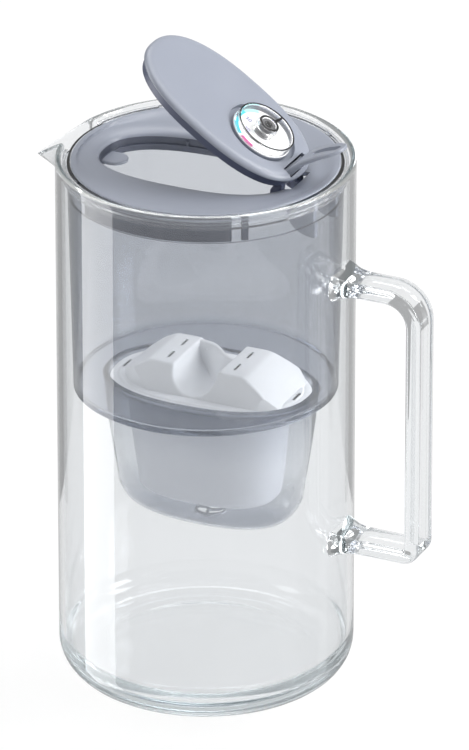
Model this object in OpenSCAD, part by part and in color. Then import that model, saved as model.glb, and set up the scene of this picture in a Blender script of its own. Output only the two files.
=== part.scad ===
// Glass water filter pitcher with a lift-out hopper, an oval cartridge,
// a dished lid ring and a thumb-operated flip lid that carries a reminder dial.
// Units are millimetres. +Z is up, +X points to the handle, -X to the spout.
// The origin is the centre of the foot of the glass body.

/* [Glass body] */
// Outer radius of the glass body
jug_r = 68; // [66:0.5:70]
// Height of the rim
jug_h = 256.2; // [250:0.1:262]
// Wall thickness of the glass
glass_t = 2.8; // [2.4:0.1:2.8]
// Thickness of the glass base
base_t = 10; // [8:0.5:12]
// Radius of the rounded foot
foot_round = 16.5; // [10:0.5:18]
// Reach of the pouring beak from the jug's axis
spout_reach = 85; // [82:0.5:88]

/* [Handle] */
// Width of the handle bar across the hand
handle_w = 18; // [14:1:20]
// Thickness of the handle bar
handle_t = 7.2; // [6:0.2:8]
// Distance of the upright's centre line from the jug's axis
handle_x = 106.2; // [104:0.1:110]
// Height of the upper arm's centre line
handle_top = 207.3; // [200:0.1:212]
// Height of the lower arm's centre line
handle_low = 79; // [74:0.5:84]

/* [Hopper] */
// Outer radius of the hopper just under its flange
hopper_r_top = 62.6; // [62:0.1:62.8]
// Outer radius of the hopper at its floor
hopper_r_low = 60.5; // [60:0.1:61]
// Height of the hopper's underside
hopper_z = 145; // [143:0.5:147]
// Height of the cup's underside
cup_z = 78; // [76:0.5:80]
// Half length of the cup at the hopper's floor
cup_a = 51; // [50:0.1:52]
// Half width of the cup at the hopper's floor
cup_b = 33.4; // [33:0.1:34]
// Distance of the cup's centre from the jug's axis, towards the handle
cup_x = 2.2; // [0:0.1:3]

/* [Lid ring] */
// Outer radius of the lid ring
ring_r = 60.9; // [60.5:0.1:61]
// Height of the ring's outer edge
ring_top = 254.6; // [254.2:0.1:255]
// Half length of the filling opening
mouth_a = 47; // [46.5:0.1:47.5]
// Half width of the filling opening
mouth_b = 26.2; // [26:0.1:26.5]

/* [Flip lid] */
// How far the lid stands open, in degrees
lid_open = 34.5; // [0:0.5:66]
// Half length of the lid
lid_a = 44.95; // [44:0.05:45.5]
// Half width of the lid
lid_b = 29.7; // [29:0.1:30]
// Height of the lid's top when it is shut
lid_top = 256; // [255.9:0.1:256.4]

/* [Dial] */
// Radius of the clear dial knob
dial_r = 14.4; // [14:0.1:14.6]
// Height of the dial knob's face above the lid
dial_h = 4.2; // [3.8:0.1:5]
// Where the pointer stands, counted from the handle side
pointer_angle = 83; // [0:1:359]

/* [Cartridge] */
// Half length of the cartridge's flange
flange_a = 47.5; // [46:0.5:47.5]
// Half width of the cartridge's flange
flange_b = 31; // [30:0.5:31]
// Height of the humps above the flange's underside
hump_h = 16; // [14:0.5:17]
// Radius of the finger valley between the humps
valley_r = 10.75; // [9:0.25:11.5]

/* [Hidden] */
$fn = 96;
eps = 0.01;

// colours
glass_tint = [0.86, 0.9, 0.92, 0.35];
hopper_tint = [0.55, 0.58, 0.65, 0.6];
cup_tint = [0.72, 0.74, 0.8, 0.55];
slate = [0.6, 0.63, 0.7];
slate_dark = [0.32, 0.35, 0.43];
white = [0.93, 0.94, 0.95];
seal_tint = [0.85, 0.88, 0.9, 0.6];
ink = [0.06, 0.06, 0.07];

// glass body
jug_in = jug_r - glass_t;
inner_round = 12;
// heights at which the turned glass is drawn in three stretches
base_high = 22;
rim_low = 228;
spout_half = 17;
spout_low = 233;
spout_tip_z = 239.4;
spout_tip_r = 2.4;
spout_wall = 2.4;

// handle
bar_round = 2.2;
bend_top = 14;
bend_low = 4.6;
pad_w = 25;
pad_t = 13;
pad_len = 9;

// hopper
flange_r = 63.3;
flange_top = 254.2;
flange_low = 251.6;
ledge_z = 241.2;
ledge_in = 61.3;
wall_in_top = 60.2;
wall_in_low = 58.9;
floor_top = 147;
pour_gap = 30;
cup_pow = 2.3;
// small raised tabs on the flange
tab_angles = [52, 133, 227, 308];
tab_w = 5;
tab_h = 0.5;
cup_wall = 1.7;
seat_z = 142.2;
seat_a = 48.1;
seat_b = 31.6;
outlet_r = 7.3;
// cup profile: height and how far the wall has drawn in at that height
cup_steps = [[132, 1.2], [118, 2.9], [104, 5], [96, 6.2]];
cup_fillet = 18;
fillet_steps = [20, 38, 54, 68, 80];

// seal
seal_in = 63.3;
seal_out = 64.85;
seal_low = 248.6;

// lid ring
mouth_x = -3.4;
mouth_pow = 2.5;
lip_z = 251.9;
collar_top = lip_z - 2.6;
mouth_low = 244;
ring_side_low = 250.2;
skirt_r = 60.7;
skirt_t = 1.9;
skirt_low = 241.5;
hinge_x = 48.5;
hinge_z = 244.5;
pin_r = 1.5;
cheek_in = 10.5;
cheek_t = 3;
cheek_r = 12.2;
cheek_x = 57.7;
cheek_z = 245.2;
notch_x = 47.2;
tongue_x = -45.2;
tongue_r = 6;
tongue_z = 245.2;
tongue_t = 1.7;

// flip lid, laid out shut and then swung open about the hinge
lid_pow = 2.4;
lid_x = -3.65;
lid_low = 252.4;
shell_roof = 254.3;
liner_low = 247.6;
liner_t = 1.6;
liner_a = 42.5;
liner_b = 25.4;
barrel_r = 3.6;
barrel_half = 9.9;
arm_in = 5.6;
arm_t = 3.6;
pin_play = 0.06;

// dial
dial_x = 15.6;
moat_r = 17.3;
moat_low = 254;
boss_r = 18.9;
seat_r = 14.9;
seat_top = 255.6;
card_r = 14.7;
card_top = 256.1;
stem_r = 1.95;
stem_play = 0.06;
stem_low = 250.4;
skirt_gap = 0.3;
plate_t = 0.9;
grip_r = 5;
grip_top = 262.4;
ink_t = 0.3;

// lever, as a ribbon along a centre line seen from the side, lid shut
lever_line = [[37, 252.9], [37.4, 256.5], [38.9, 262.3], [40.9, 266.4], [43.7, 271.4], [47, 276],
  [49.2, 279.6]];
lever_thick = [3, 2.9, 2.7, 2.5, 2.2, 1.9, 1.6];
lever_w_root = 19;
lever_w_tip = 15;
lever_len = 30;
lever_lean = 64.5;
lever_root_x = 34.8;

// cartridge
cart_low = 87.5;
cart_flange_z = 142.5;
cart_flange_t = 3;
body_a = 37.5;
body_b = 26;
cart_taper = 4;
// shoulder of a hump: distance from the middle and drop from the top
hump_shoulder = [[22.5, 0], [25.5, 1.1], [31, 4.3], [36.5, 8.2], [40.2, 12], [41.3, 15]];
hump_x = 6;
hump_a = 44.5;
hump_b = 24.8;
// the wall behind the finger, seen from above
valley_t = 1.9;
valley_path = [
  [-9.7, 13.4], [-5.3, 13.1], [-1.6, 12.1], [1.2, 10.3], [4.2, 7.5], [7.4, 4.2], [10, 1.9], [13.6, 0]
];

// ---- outlines and lofts ----

// distance from the centre to the edge of an oval, in the direction t
function oval_reach(a, b, p, t) = pow(pow(abs(cos(t)) / a, p) + pow(abs(sin(t)) / b, p), -1 / p);

// one level ring of points on an oval
function oval_ring(a, b, z, p, cx = 0, n = 72) = [
  for (i = [0 : n - 1])
    let (t = 360 * i / n, r = oval_reach(a, b, p, t)) [cx + r * cos(t), r * sin(t), z]
];

function round_ring(r, z, n = 72) = oval_ring(r, r, z, 2, 0, n);

// A solid through a stack of rings with equal point counts. An open stack is
// capped at both ends, and a closed one joins its last ring to its first.
module loft(rings, closed = false) {
  n = len(rings[0]);
  m = len(rings);
  last = closed ? m - 1 : m - 2;
  sides = [
    for (i = [0 : last], j = [0 : n - 1])
      let (k = (i + 1) % m, j1 = (j + 1) % n)
        each [
          [i * n + j, k * n + j, k * n + j1],
          [i * n + j, k * n + j1, i * n + j1]
        ]
  ];
  caps = closed ? [] : [
    [for (j = [0 : n - 1]) j],
    [for (j = [n - 1 : -1 : 0]) (m - 1) * n + j]
  ];
  polyhedron(points = [for (r = rings) each r], faces = concat(sides, caps), convexity = 8);
}

module tube(r_out, r_in, z0, z1) {
  translate([0, 0, z0])
    difference() {
      cylinder(r = r_out, h = z1 - z0);
      translate([0, 0, -1]) cylinder(r = r_in, h = z1 - z0 + 2);
    }
}

// a flat rectangle with round corners, centred
module round_rect(w, h, r) {
  union() {
    square([w - 2 * r, h], center = true);
    square([w, h - 2 * r], center = true);
    for (x = [-1, 1], y = [-1, 1])
      translate([x * (w / 2 - r), y * (h / 2 - r)]) circle(r = r, $fn = 32);
  }
}

// a slot along Y, cut down through z0 to z1
module y_slot(x, y, length, width, z0, z1) {
  translate([x, y, z0])
    linear_extrude(height = z1 - z0)
      union() {
        square([width, length - width], center = true);
        for (s = [-1, 1]) translate([0, s * (length - width) / 2]) circle(d = width, $fn = 24);
      }
}

module swing() {
  translate([hinge_x, 0, hinge_z])
    rotate([0, lid_open, 0])
      translate([-hinge_x, 0, -hinge_z])
        children();
}

module on_dial() {
  swing() translate([dial_x, 0, 0]) children();
}

// ---- glass ----

module jug_half_section() {
  difference() {
    union() {
      square([jug_r - foot_round, jug_h - glass_t / 2]);
      translate([0, foot_round]) square([jug_r, jug_h - glass_t / 2 - foot_round]);
      translate([jug_r - foot_round, foot_round]) circle(r = foot_round);
      translate([jug_r - glass_t / 2, jug_h - glass_t / 2]) circle(d = glass_t, $fn = 32);
    }
    union() {
      translate([-1, base_t]) square([jug_in - inner_round + 1, jug_h]);
      translate([0, base_t + inner_round]) square([jug_in, jug_h - base_t - inner_round - glass_t / 2]);
      translate([0, jug_h - glass_t / 2 - 1]) square([jug_in, 1]);
      translate([jug_in - inner_round, base_t + inner_round]) circle(r = inner_round);
      translate([0, jug_h - glass_t]) square([jug_in - eps, glass_t]);
    }
    translate([-200, -1]) square([200, jug_h + 2]);
  }
}

// a beak from an opening in the wall to a small round tip
module beak(half, low, tip_r, tip_x, tip_z, wall_x, top, tip_rise = 0) {
  hull() {
    translate([tip_x, 0, tip_z]) sphere(r = tip_r, $fn = 24);
    translate([tip_x, 0, tip_z + tip_rise]) sphere(r = tip_r, $fn = 24);
    translate([wall_x, 0, 0])
      rotate([90, 0, 90])
        linear_extrude(height = 1)
          polygon([[-half, top], [half, top], [tip_r, low], [-tip_r, low]]);
  }
}

module beak_outside() {
  beak(spout_half, spout_low, spout_tip_r, -spout_reach + spout_tip_r, spout_tip_z,
    -jug_r + glass_t / 2, jug_h - 0.3);
}

module beak_inside() {
  beak(spout_half - spout_wall, spout_low + 2 * spout_wall, 0.9,
    -spout_reach + spout_tip_r + 0.9, spout_tip_z + 1.3, -jug_in + 4, jug_h + 8, 4.5);
}

module turned_glass(z0, z1) {
  rotate_extrude()
    intersection() {
      jug_half_section();
      translate([0, z0]) square([jug_r + 1, z1 - z0]);
    }
}

module glass_base() {
  color(glass_tint) turned_glass(0, base_high);
}

module glass_wall() {
  color(glass_tint) turned_glass(base_high, rim_low);
}

module glass_rim() {
  color(glass_tint)
    difference() {
      turned_glass(rim_low, jug_h + 1);
      beak_inside();
    }
}

module spout() {
  color(glass_tint)
    difference() {
      beak_outside();
      translate([0, 0, spout_low - 10]) cylinder(r = jug_r, h = 60);
      beak_inside();
    }
}

module bar_along_x(x0, x1, z) {
  translate([x0, 0, z])
    rotate([90, 0, 90])
      linear_extrude(height = x1 - x0) round_rect(handle_w, handle_t, bar_round);
}

module bend(r, z, up) {
  translate([handle_x - r, 0, z])
    rotate([90, 0, 0])
      rotate([0, 0, up ? 0 : -90])
        rotate_extrude(angle = 90)
          translate([r, 0]) round_rect(handle_t, handle_w, bar_round);
}

module wall_pad(z) {
  hull() {
    translate([jug_r + pad_len, 0, z])
      rotate([90, 0, 90])
        linear_extrude(height = 0.5) round_rect(handle_w, handle_t, bar_round);
    translate([jug_r - 8, 0, z])
      rotate([90, 0, 90])
        linear_extrude(height = 7) round_rect(pad_w, pad_t, 5);
  }
}

module handle() {
  color(glass_tint)
    difference() {
      union() {
        bar_along_x(jug_r - 4, handle_x - bend_top, handle_top);
        bar_along_x(jug_r - 4, handle_x - bend_low, handle_low);
        bend(bend_top, handle_top - bend_top, true);
        bend(bend_low, handle_low + bend_low, false);
        translate([handle_x, 0, handle_low + bend_low])
          linear_extrude(height = handle_top - handle_low - bend_top - bend_low)
            round_rect(handle_t, handle_w, bar_round);
        wall_pad(handle_top);
        wall_pad(handle_low);
      }
      cylinder(r = jug_r, h = jug_h);
    }
}

// ---- hopper ----

module hopper() {
  color(hopper_tint) {
    difference() {
      rotate_extrude()
        polygon([
          [0, hopper_z],
          [hopper_r_low - 0.8, hopper_z],
          [hopper_r_low, hopper_z + 0.8],
          [hopper_r_top, flange_low - 3],
          [hopper_r_top, flange_low],
          [flange_r, flange_low],
          [flange_r, flange_top],
          [ledge_in, flange_top],
          [ledge_in, ledge_z],
          [wall_in_top, ledge_z],
          [wall_in_low, floor_top],
          [0, floor_top]
        ]);
      translate([cup_x, 0, hopper_z - 1])
        linear_extrude(height = floor_top - hopper_z + 2)
          polygon([for (p = oval_ring(cup_a, cup_b, 0, cup_pow, 0, 60)) [p[0], p[1]]]);
      translate([0, 0, flange_low])
        rotate([0, 0, 180 - pour_gap / 2])
          rotate_extrude(angle = pour_gap)
            translate([hopper_r_top - 0.3, 0]) square([4, 6]);
    }
    for (a = tab_angles)
      rotate([0, 0, a])
        translate([(ledge_in + flange_r) / 2, 0, flange_top - 0.2])
          linear_extrude(height = tab_h + 0.2) square([1.4, tab_w], center = true);
  }
}

// outer and inner half sizes of the cup draw in together
function cup_ring(inset, z, wall = 0) =
  oval_ring(cup_a - inset - wall, cup_b - inset - wall, z, cup_pow, cup_x, 60);

module hopper_cup() {
  inset_low = cup_steps[3][1];
  outside = concat(
    [for (i = [4 : -1 : 0]) let (t = fillet_steps[i])
      cup_ring(inset_low + cup_fillet * (1 - cos(t)), cup_z + cup_fillet * (1 - sin(t)))],
    [for (i = [3 : -1 : 0]) cup_ring(cup_steps[i][1], cup_steps[i][0])],
    [cup_ring(0, hopper_z), cup_ring(0, floor_top)]
  );
  inside = concat(
    [
      oval_ring(seat_a, seat_b, floor_top, cup_pow, cup_x, 60),
      oval_ring(seat_a, seat_b, seat_z, cup_pow, cup_x, 60),
      cup_ring(4.6, seat_z), cup_ring(4.6, 138)
    ],
    [for (s = cup_steps) if (s[0] < 130) cup_ring(s[1], s[0] - 1, cup_wall)],
    [for (t = fillet_steps)
      cup_ring(inset_low + cup_wall + (cup_fillet - 1) * (1 - cos(t)),
        cup_z + 1.7 + (cup_fillet - 1) * (1 - sin(t)))]
  );
  color(cup_tint)
    difference() {
      loft(concat(outside, inside));
      translate([cup_x, 0, cup_z - 1]) cylinder(r = outlet_r, h = 6);
    }
}

module outlet_grille() {
  color(white)
    translate([cup_x, 0, cup_z + 0.1]) {
      tube(outlet_r, outlet_r - 1, 0, 1.7);
      for (a = [20, 140, 260])
        rotate([0, 0, a])
          translate([-1, -0.7, 0]) cube([outlet_r, 1.4, 1.5]);
    }
}

module seal_ring() {
  color(seal_tint)
    rotate([0, 0, 180 + pour_gap / 2])
      rotate_extrude(angle = 360 - pour_gap)
        polygon([
          [seal_in, seal_low + 1], [seal_in + 0.8, seal_low], [seal_in + 0.8, 250.6],
          [seal_out, 251.2], [seal_in + 0.9, 251.8], [seal_in + 0.9, 252.6],
          [seal_out, 253.2], [seal_out - 0.2, 254.4], [seal_in, 254.4]
        ]);
}

// ---- cartridge ----

function cart_ring(grow, z) = oval_ring(body_a + grow, body_b + grow, z, 2.4, cup_x, 60);

module cartridge_shell() {
  wall = 1.4;
  color(white)
    difference() {
      loft([
        cart_ring(-cart_taper - 3, cart_low),
        cart_ring(-cart_taper - 0.8, cart_low + 1),
        cart_ring(-cart_taper, cart_low + 3.2),
        cart_ring(0, cart_flange_z),
        cart_ring(-wall, cart_flange_z),
        cart_ring(-cart_taper - wall, cart_low + wall + 2),
        cart_ring(-cart_taper - wall - 2, cart_low + wall)
      ]);
      for (x = [-18 : 6 : 18])
        y_slot(cup_x + x, 0, 22, 1.6, cart_low - 1, cart_low + 3);
    }
}

// side view of both humps with the finger valley between them
module hump_side(inset) {
  top = cart_flange_z + hump_h - inset;
  squeeze = 1 - inset / (hump_h - 1);
  function shoulder(side) = [
    for (p = hump_shoulder)
      [side * (p[0] - (p[1] > 0 ? 1.2 : 0.6) * inset), top - p[1] * squeeze]
  ];
  left = shoulder(-1);
  difference() {
    polygon(concat([for (i = [len(left) - 1 : -1 : 0]) left[i]], shoulder(1)));
    translate([0, top + inset - 1.3]) circle(r = valley_r + inset);
    translate([-valley_r - inset, top + inset - 1.3]) square([2 * (valley_r + inset), 5]);
  }
}

module hump_block(inset, low) {
  intersection() {
    translate([cup_x, 40, 0])
      rotate([90, 0, 0])
        linear_extrude(height = 80) hump_side(inset);
    translate([-60, 0, 0])
      rotate([90, 0, 90])
        linear_extrude(height = 120)
          polygon([
            [-23 + inset, low], [-15.8 + inset, cart_flange_z + hump_h],
            [15.8 - inset, cart_flange_z + hump_h], [23 - inset, low]
          ]);
    loft([for (z = [cart_flange_z - 3, cart_flange_z + hump_h + 3])
      oval_ring(hump_a - inset, hump_b - inset, z, cup_pow, hump_x, 60)]);
  }
}

// curved wall that closes the valley behind the finger
module valley_wall() {
  function across(i) =
    let (
      p = valley_path[max(i - 1, 0)],
      q = valley_path[min(i + 1, len(valley_path) - 1)],
      d = (q - p) / norm(q - p)
    ) [-d[1], d[0]];
  last = len(valley_path) - 1;
  translate([0, 0, cart_flange_z + 2.7])
    linear_extrude(height = hump_h - 2.9)
      polygon(concat(
        [for (i = [0 : last]) valley_path[i] + across(i) * valley_t / 2],
        [for (i = [last : -1 : 0]) valley_path[i] - across(i) * valley_t / 2]
      ));
}

module cartridge_cap() {
  flange_top_z = cart_flange_z + cart_flange_t;
  color(white)
    difference() {
      union() {
        loft([
          oval_ring(flange_a - 0.8, flange_b - 0.8, cart_flange_z, cup_pow, cup_x, 60),
          oval_ring(flange_a, flange_b, cart_flange_z + 0.9, cup_pow, cup_x, 60),
          oval_ring(flange_a, flange_b, flange_top_z - 0.9, cup_pow, cup_x, 60),
          oval_ring(flange_a - 0.9, flange_b - 0.9, flange_top_z, cup_pow, cup_x, 60)
        ]);
        hump_block(0, cart_flange_z + 1);
        valley_wall();
      }
      difference() {
        hump_block(1.5, cart_flange_z - 1);
        translate([-60, -40, cart_flange_z - 2]) cube([120, 80, 2]);
      }
      for (s = [-1, 1], y = [-7, 7])
        y_slot(cup_x + 16.5 * s, y, 7.2, 1.6, cart_flange_z + hump_h - 4, cart_flange_z + hump_h + 1);
      for (s = [-1, 1])
        y_slot(cup_x + 42.5 * s, 0, 8, 1.4, cart_flange_z - 1, flange_top_z + 1);
    }
}

module upper_mesh() {
  color([0.85, 0.87, 0.88])
    loft([cart_ring(-2, 139.4), cart_ring(-2, 140.4)]);
}

module filter_media() {
  color([0.2, 0.2, 0.21])
    loft([cart_ring(-cart_taper - 2.2, cart_low + 4.6), cart_ring(-2.4, 139.4)]);
}

module lower_mesh() {
  color([0.85, 0.87, 0.88])
    loft([cart_ring(-cart_taper - 3.6, cart_low + 3.2), cart_ring(-cart_taper - 2.4, cart_low + 4.6)]);
}

// ---- lid ring ----

function mouth_ring(grow, z) = oval_ring(mouth_a + grow, mouth_b + grow, z, mouth_pow, mouth_x);

module pin_bore() {
  translate([hinge_x, 0, hinge_z])
    rotate([90, 0, 0]) cylinder(r = pin_r, h = 40, center = true, $fn = 48);
}

module lid_notch() {
  translate([38, -10.3, mouth_low - 1]) cube([notch_x - 38, 20.6, 12]);
}

module ring_dish() {
  loft([
    round_ring(ring_r, ring_side_low),
    round_ring(ring_r, ring_top - 0.5),
    round_ring(ring_r - 0.5, ring_top),
    round_ring(58.6, ring_top - 0.2),
    mouth_ring(4, lip_z + 0.25),
    mouth_ring(2.6, lip_z),
    mouth_ring(1.2, lip_z - 0.45),
    mouth_ring(0.35, lip_z - 1.3),
    mouth_ring(0, collar_top),
    mouth_ring(1.8, collar_top),
    round_ring(59, ring_top - 2.4),
    round_ring(59, ring_side_low)
  ], closed = true);
}

module skirt_arc(a0, a1, high) {
  rotate([0, 0, a0])
    rotate_extrude(angle = a1 - a0)
      translate([skirt_r - skirt_t, skirt_low])
        square([skirt_t, high - skirt_low]);
}

// a cheek below the dish, beside the lid's notch
module hinge_cheek(side) {
  y0 = side > 0 ? cheek_in : -cheek_in - cheek_t;
  color(slate)
    difference() {
      intersection() {
        translate([0, y0 + cheek_t, 0])
          rotate([90, 0, 0])
            linear_extrude(height = cheek_t)
              union() {
                intersection() {
                  translate([cheek_x, cheek_z]) circle(r = cheek_r);
                  translate([cheek_x - cheek_r, cheek_z - cheek_r])
                    square([2 * cheek_r, cheek_r + 0.8]);
                }
                translate([cheek_x - cheek_r, cheek_z])
                  square([2 * cheek_r, lip_z - 0.1 - cheek_z]);
                translate([hinge_x, hinge_z]) circle(r = 4.2);
              }
        translate([0, 0, 225]) cylinder(r = 58.9, h = 40);
      }
      ring_dish();
      pin_bore();
    }
}

module cheek_far() {
  hinge_cheek(1);
}

module cheek_near() {
  hinge_cheek(-1);
}

module front_tongue() {
  translate([tongue_x, 0, tongue_z]) {
    cylinder(r = tongue_r, h = tongue_t);
    translate([mouth_x - mouth_a - 0.8 - tongue_x, -tongue_r, 0])
      cube([tongue_x - mouth_x + mouth_a + 0.8, 2 * tongue_r, tongue_t]);
  }
}

module collar_wall() {
  loft([
    mouth_ring(0, mouth_low),
    mouth_ring(1.8, mouth_low),
    mouth_ring(1.8, collar_top),
    mouth_ring(0, collar_top)
  ], closed = true);
}

// the dish with two small posts at the ends of the skirt
module lid_ring() {
  color(slate)
    difference() {
      union() {
        ring_dish();
        for (a = [47.2, -49.2]) skirt_arc(a, a + 2, ring_top - 1.4);
      }
      lid_notch();
    }
}

// the wall of the mouth with the tongue and a small rib
module mouth_collar() {
  color(slate)
    difference() {
      union() {
        collar_wall();
        front_tongue();
        translate([-21.5, mouth_b - 1.6, 246.5]) cube([1.4, 2.2, collar_top - 246.5]);
      }
      lid_notch();
    }
}

module skirt_far() {
  color(slate) skirt_arc(54, 125, ring_side_low);
}

module skirt_near() {
  color(slate) skirt_arc(-125, -54, ring_side_low);
}

module hinge_pin() {
  color([0.75, 0.76, 0.78])
    translate([hinge_x, 0, hinge_z])
      rotate([90, 0, 0])
        cylinder(r = pin_r, h = 2 * (cheek_in + cheek_t) - 0.4, center = true, $fn = 48);
}

// ---- flip lid ----

function lid_ring_at(grow, z) = oval_ring(lid_a + grow, lid_b + grow, z, lid_pow, lid_x);

module lid_shell() {
  color(slate)
    swing()
      difference() {
        union() {
          loft([
            lid_ring_at(-2.2, shell_roof),
            lid_ring_at(-2.2, lid_low),
            lid_ring_at(-0.9, lid_low),
            lid_ring_at(-0.2, lid_low + 0.5),
            lid_ring_at(0, lid_low + 1.2),
            lid_ring_at(-0.15, lid_top - 1.7),
            lid_ring_at(-0.9, lid_top - 0.9),
            lid_ring_at(-2.3, lid_top - 0.3),
            lid_ring_at(-4.5, lid_top - 0.05),
            lid_ring_at(-9, lid_top)
          ]);
          translate([dial_x, 0, lid_low]) cylinder(r = boss_r, h = shell_roof - lid_low + 0.4);
        }
        translate([dial_x, 0, moat_low]) cylinder(r = moat_r, h = 5);
        translate([dial_x, 0, lid_low - 1]) cylinder(r = stem_r + stem_play, h = 6, $fn = 48);
        translate([34.2, -lever_w_root / 2 - 0.3, lid_low - 1])
          cube([5.2, lever_w_root + 0.6, 6]);
      }
}

function liner_ring(grow, z) = oval_ring(liner_a + grow, liner_b + grow, z, lid_pow, lid_x);

module liner_tray() {
  loft([
    liner_ring(-1.2, liner_low),
    liner_ring(0, liner_low + 1.2),
    liner_ring(0, shell_roof),
    liner_ring(-liner_t, shell_roof),
    liner_ring(-liner_t, liner_low + liner_t)
  ]);
}

// hooked arm from the hinge barrel to the underside of the liner
module hinge_arm(y0, y1) {
  translate([hinge_x, y1, hinge_z])
    rotate([90, 0, 0])
      linear_extrude(height = y1 - y0)
        union() {
          circle(r = barrel_r);
          polygon([
            [0, 1.9], [-8.2, -0.3], [-10.1, 3.9], [-13.2, 3.9], [-13.2, -1.8],
            [-11.6, -4.4], [-9.4, -4.6], [0, -2.6]
          ]);
        }
}

module lid_liner() {
  color(slate_dark)
    swing()
      difference() {
        union() {
          liner_tray();
          hinge_arm(-barrel_half, -arm_in);
          hinge_arm(arm_in, barrel_half);
          translate([hinge_x, 0, hinge_z])
            rotate([90, 0, 0]) cylinder(r = barrel_r, h = 2 * barrel_half, center = true);
        }
        translate([hinge_x, 0, hinge_z])
          rotate([90, 0, 0])
            cylinder(r = pin_r + pin_play, h = 40, center = true, $fn = 48);
        translate([31, -lever_w_root / 2 - 0.3, lid_low - 0.1]) cube([12, lever_w_root + 0.6, 4]);
      }
}

// unit normal of the lever's centre line at point i
function lever_normal(i) =
  let (
    a = lever_line[max(i - 1, 0)],
    b = lever_line[min(i + 1, len(lever_line) - 1)],
    d = b - a
  ) [-d[1], d[0]] / norm(d);

function lever_side(s) = [
  for (i = [0 : len(lever_line) - 1]) lever_line[i] + s * lever_thick[i] / 2 * lever_normal(i)
];

module lever_plan() {
  end_r = lever_w_tip / 2;
  difference() {
    union() {
      polygon([
        [-4, -lever_w_root / 2], [2, -lever_w_root / 2], [lever_len - end_r, -end_r],
        [lever_len - end_r, end_r], [2, lever_w_root / 2], [-4, lever_w_root / 2]
      ]);
      translate([lever_len - end_r, 0]) circle(r = end_r);
    }
    translate([15.5, 0]) circle(r = 2.3, $fn = 32);
    translate([24, 0]) circle(r = 2.3, $fn = 32);
    translate([15.5, -2.3]) square([8.5, 4.6]);
  }
}

module thumb_lever() {
  side_b = lever_side(-1);
  color(slate)
    swing()
      union() {
        intersection() {
          translate([0, 20, 0])
            rotate([90, 0, 0])
              linear_extrude(height = 40)
                polygon(concat(lever_side(1), [for (i = [len(side_b) - 1 : -1 : 0]) side_b[i]]));
          translate([lever_line[0][0], 0, lever_line[0][1]])
            rotate([0, -lever_lean, 0])
              translate([0, 0, -12])
                linear_extrude(height = 24) lever_plan();
        }
        translate([lever_root_x, -lever_w_root / 2, lid_low - 0.1])
          cube([38.6 - lever_root_x, lever_w_root, shell_roof - lid_low + 0.1]);
      }
}

// ---- dial ----

module dial_seat() {
  color(slate)
    on_dial() tube(seat_r, stem_r + stem_play, moat_low, seat_top);
}

module dial_card() {
  color(white)
    on_dial() tube(card_r, stem_r + stem_play, seat_top, card_top);
}

module dial_knob() {
  low = card_top + skirt_gap;
  face = lid_top + dial_h;
  color(glass_tint)
    on_dial()
      difference() {
        union() {
          tube(dial_r, dial_r - plate_t, low, face);
          translate([0, 0, face - plate_t]) cylinder(r = dial_r, h = plate_t);
          translate([0, 0, low]) cylinder(r = grip_r, h = grip_top - low);
          translate([0, 0, stem_low]) cylinder(r = stem_r, h = 8, $fn = 48);
        }
        translate([0, 0, low - 1])
          difference() {
            cylinder(r = grip_r - 1.2, h = grip_top - low);
            cylinder(r = stem_r, h = grip_top - low, $fn = 48);
          }
      }
}

module knob_rim_ring() {
  color(ink)
    on_dial() tube(dial_r, dial_r - 0.5, lid_top + dial_h, lid_top + dial_h + ink_t);
}

module knob_grip_ring() {
  color(ink)
    on_dial() tube(grip_r - 0.1, grip_r - 0.9, grip_top, grip_top + ink_t);
}

module knob_pointer() {
  color(ink)
    on_dial()
      rotate([0, 0, pointer_angle])
        translate([grip_r, -0.5, lid_top + dial_h]) cube([dial_r - 0.6 - grip_r, 1, ink_t]);
}

module knob_retainer() {
  color([0.75, 0.76, 0.78])
    on_dial() tube(4.6, stem_r, stem_low + 0.6, stem_low + 1.4);
}

glass_base();
glass_wall();
glass_rim();
spout();
handle();
hopper();
hopper_cup();
outlet_grille();
seal_ring();
cartridge_shell();
cartridge_cap();
upper_mesh();
filter_media();
lower_mesh();
lid_ring();
mouth_collar();
skirt_far();
skirt_near();
cheek_far();
cheek_near();
hinge_pin();
lid_shell();
lid_liner();
thumb_lever();
dial_seat();
dial_card();
dial_knob();
knob_rim_ring();
knob_grip_ring();
knob_pointer();
knob_retainer();
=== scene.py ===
"""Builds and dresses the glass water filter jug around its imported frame.

Pieces are drawn in millimetres, with the lid shut, and are turned to their place
and scaled to metres when they are finished.
"""

import logging
import math
from collections.abc import Sequence
from dataclasses import dataclass, field
from enum import Enum
from typing import Any

import bmesh
import bpy
from mathutils import Matrix, Vector


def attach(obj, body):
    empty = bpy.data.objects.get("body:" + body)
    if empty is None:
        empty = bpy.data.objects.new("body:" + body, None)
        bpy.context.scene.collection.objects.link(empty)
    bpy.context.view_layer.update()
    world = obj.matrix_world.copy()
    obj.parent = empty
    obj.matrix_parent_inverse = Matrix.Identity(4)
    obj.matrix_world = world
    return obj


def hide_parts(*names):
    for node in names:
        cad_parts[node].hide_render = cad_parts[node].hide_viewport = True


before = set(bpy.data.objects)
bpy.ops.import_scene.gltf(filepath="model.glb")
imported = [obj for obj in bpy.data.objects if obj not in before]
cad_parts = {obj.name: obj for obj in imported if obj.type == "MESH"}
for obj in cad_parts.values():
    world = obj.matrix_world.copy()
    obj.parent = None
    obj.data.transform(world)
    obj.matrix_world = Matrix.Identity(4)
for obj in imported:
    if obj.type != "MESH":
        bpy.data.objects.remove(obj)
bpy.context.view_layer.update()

LOG = logging.getLogger("filter_jug")
MM = 0.001
RING_POINTS = 144
TINY = 0.001

Ring = list[Vector]
Profile = list[tuple[float, float]]
Rows = tuple[tuple[float, ...], ...]
Block = tuple[tuple[float, float, float], tuple[float, float, float]]
Piece = bpy.types.Object
Socket = bpy.types.NodeSocket


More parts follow.
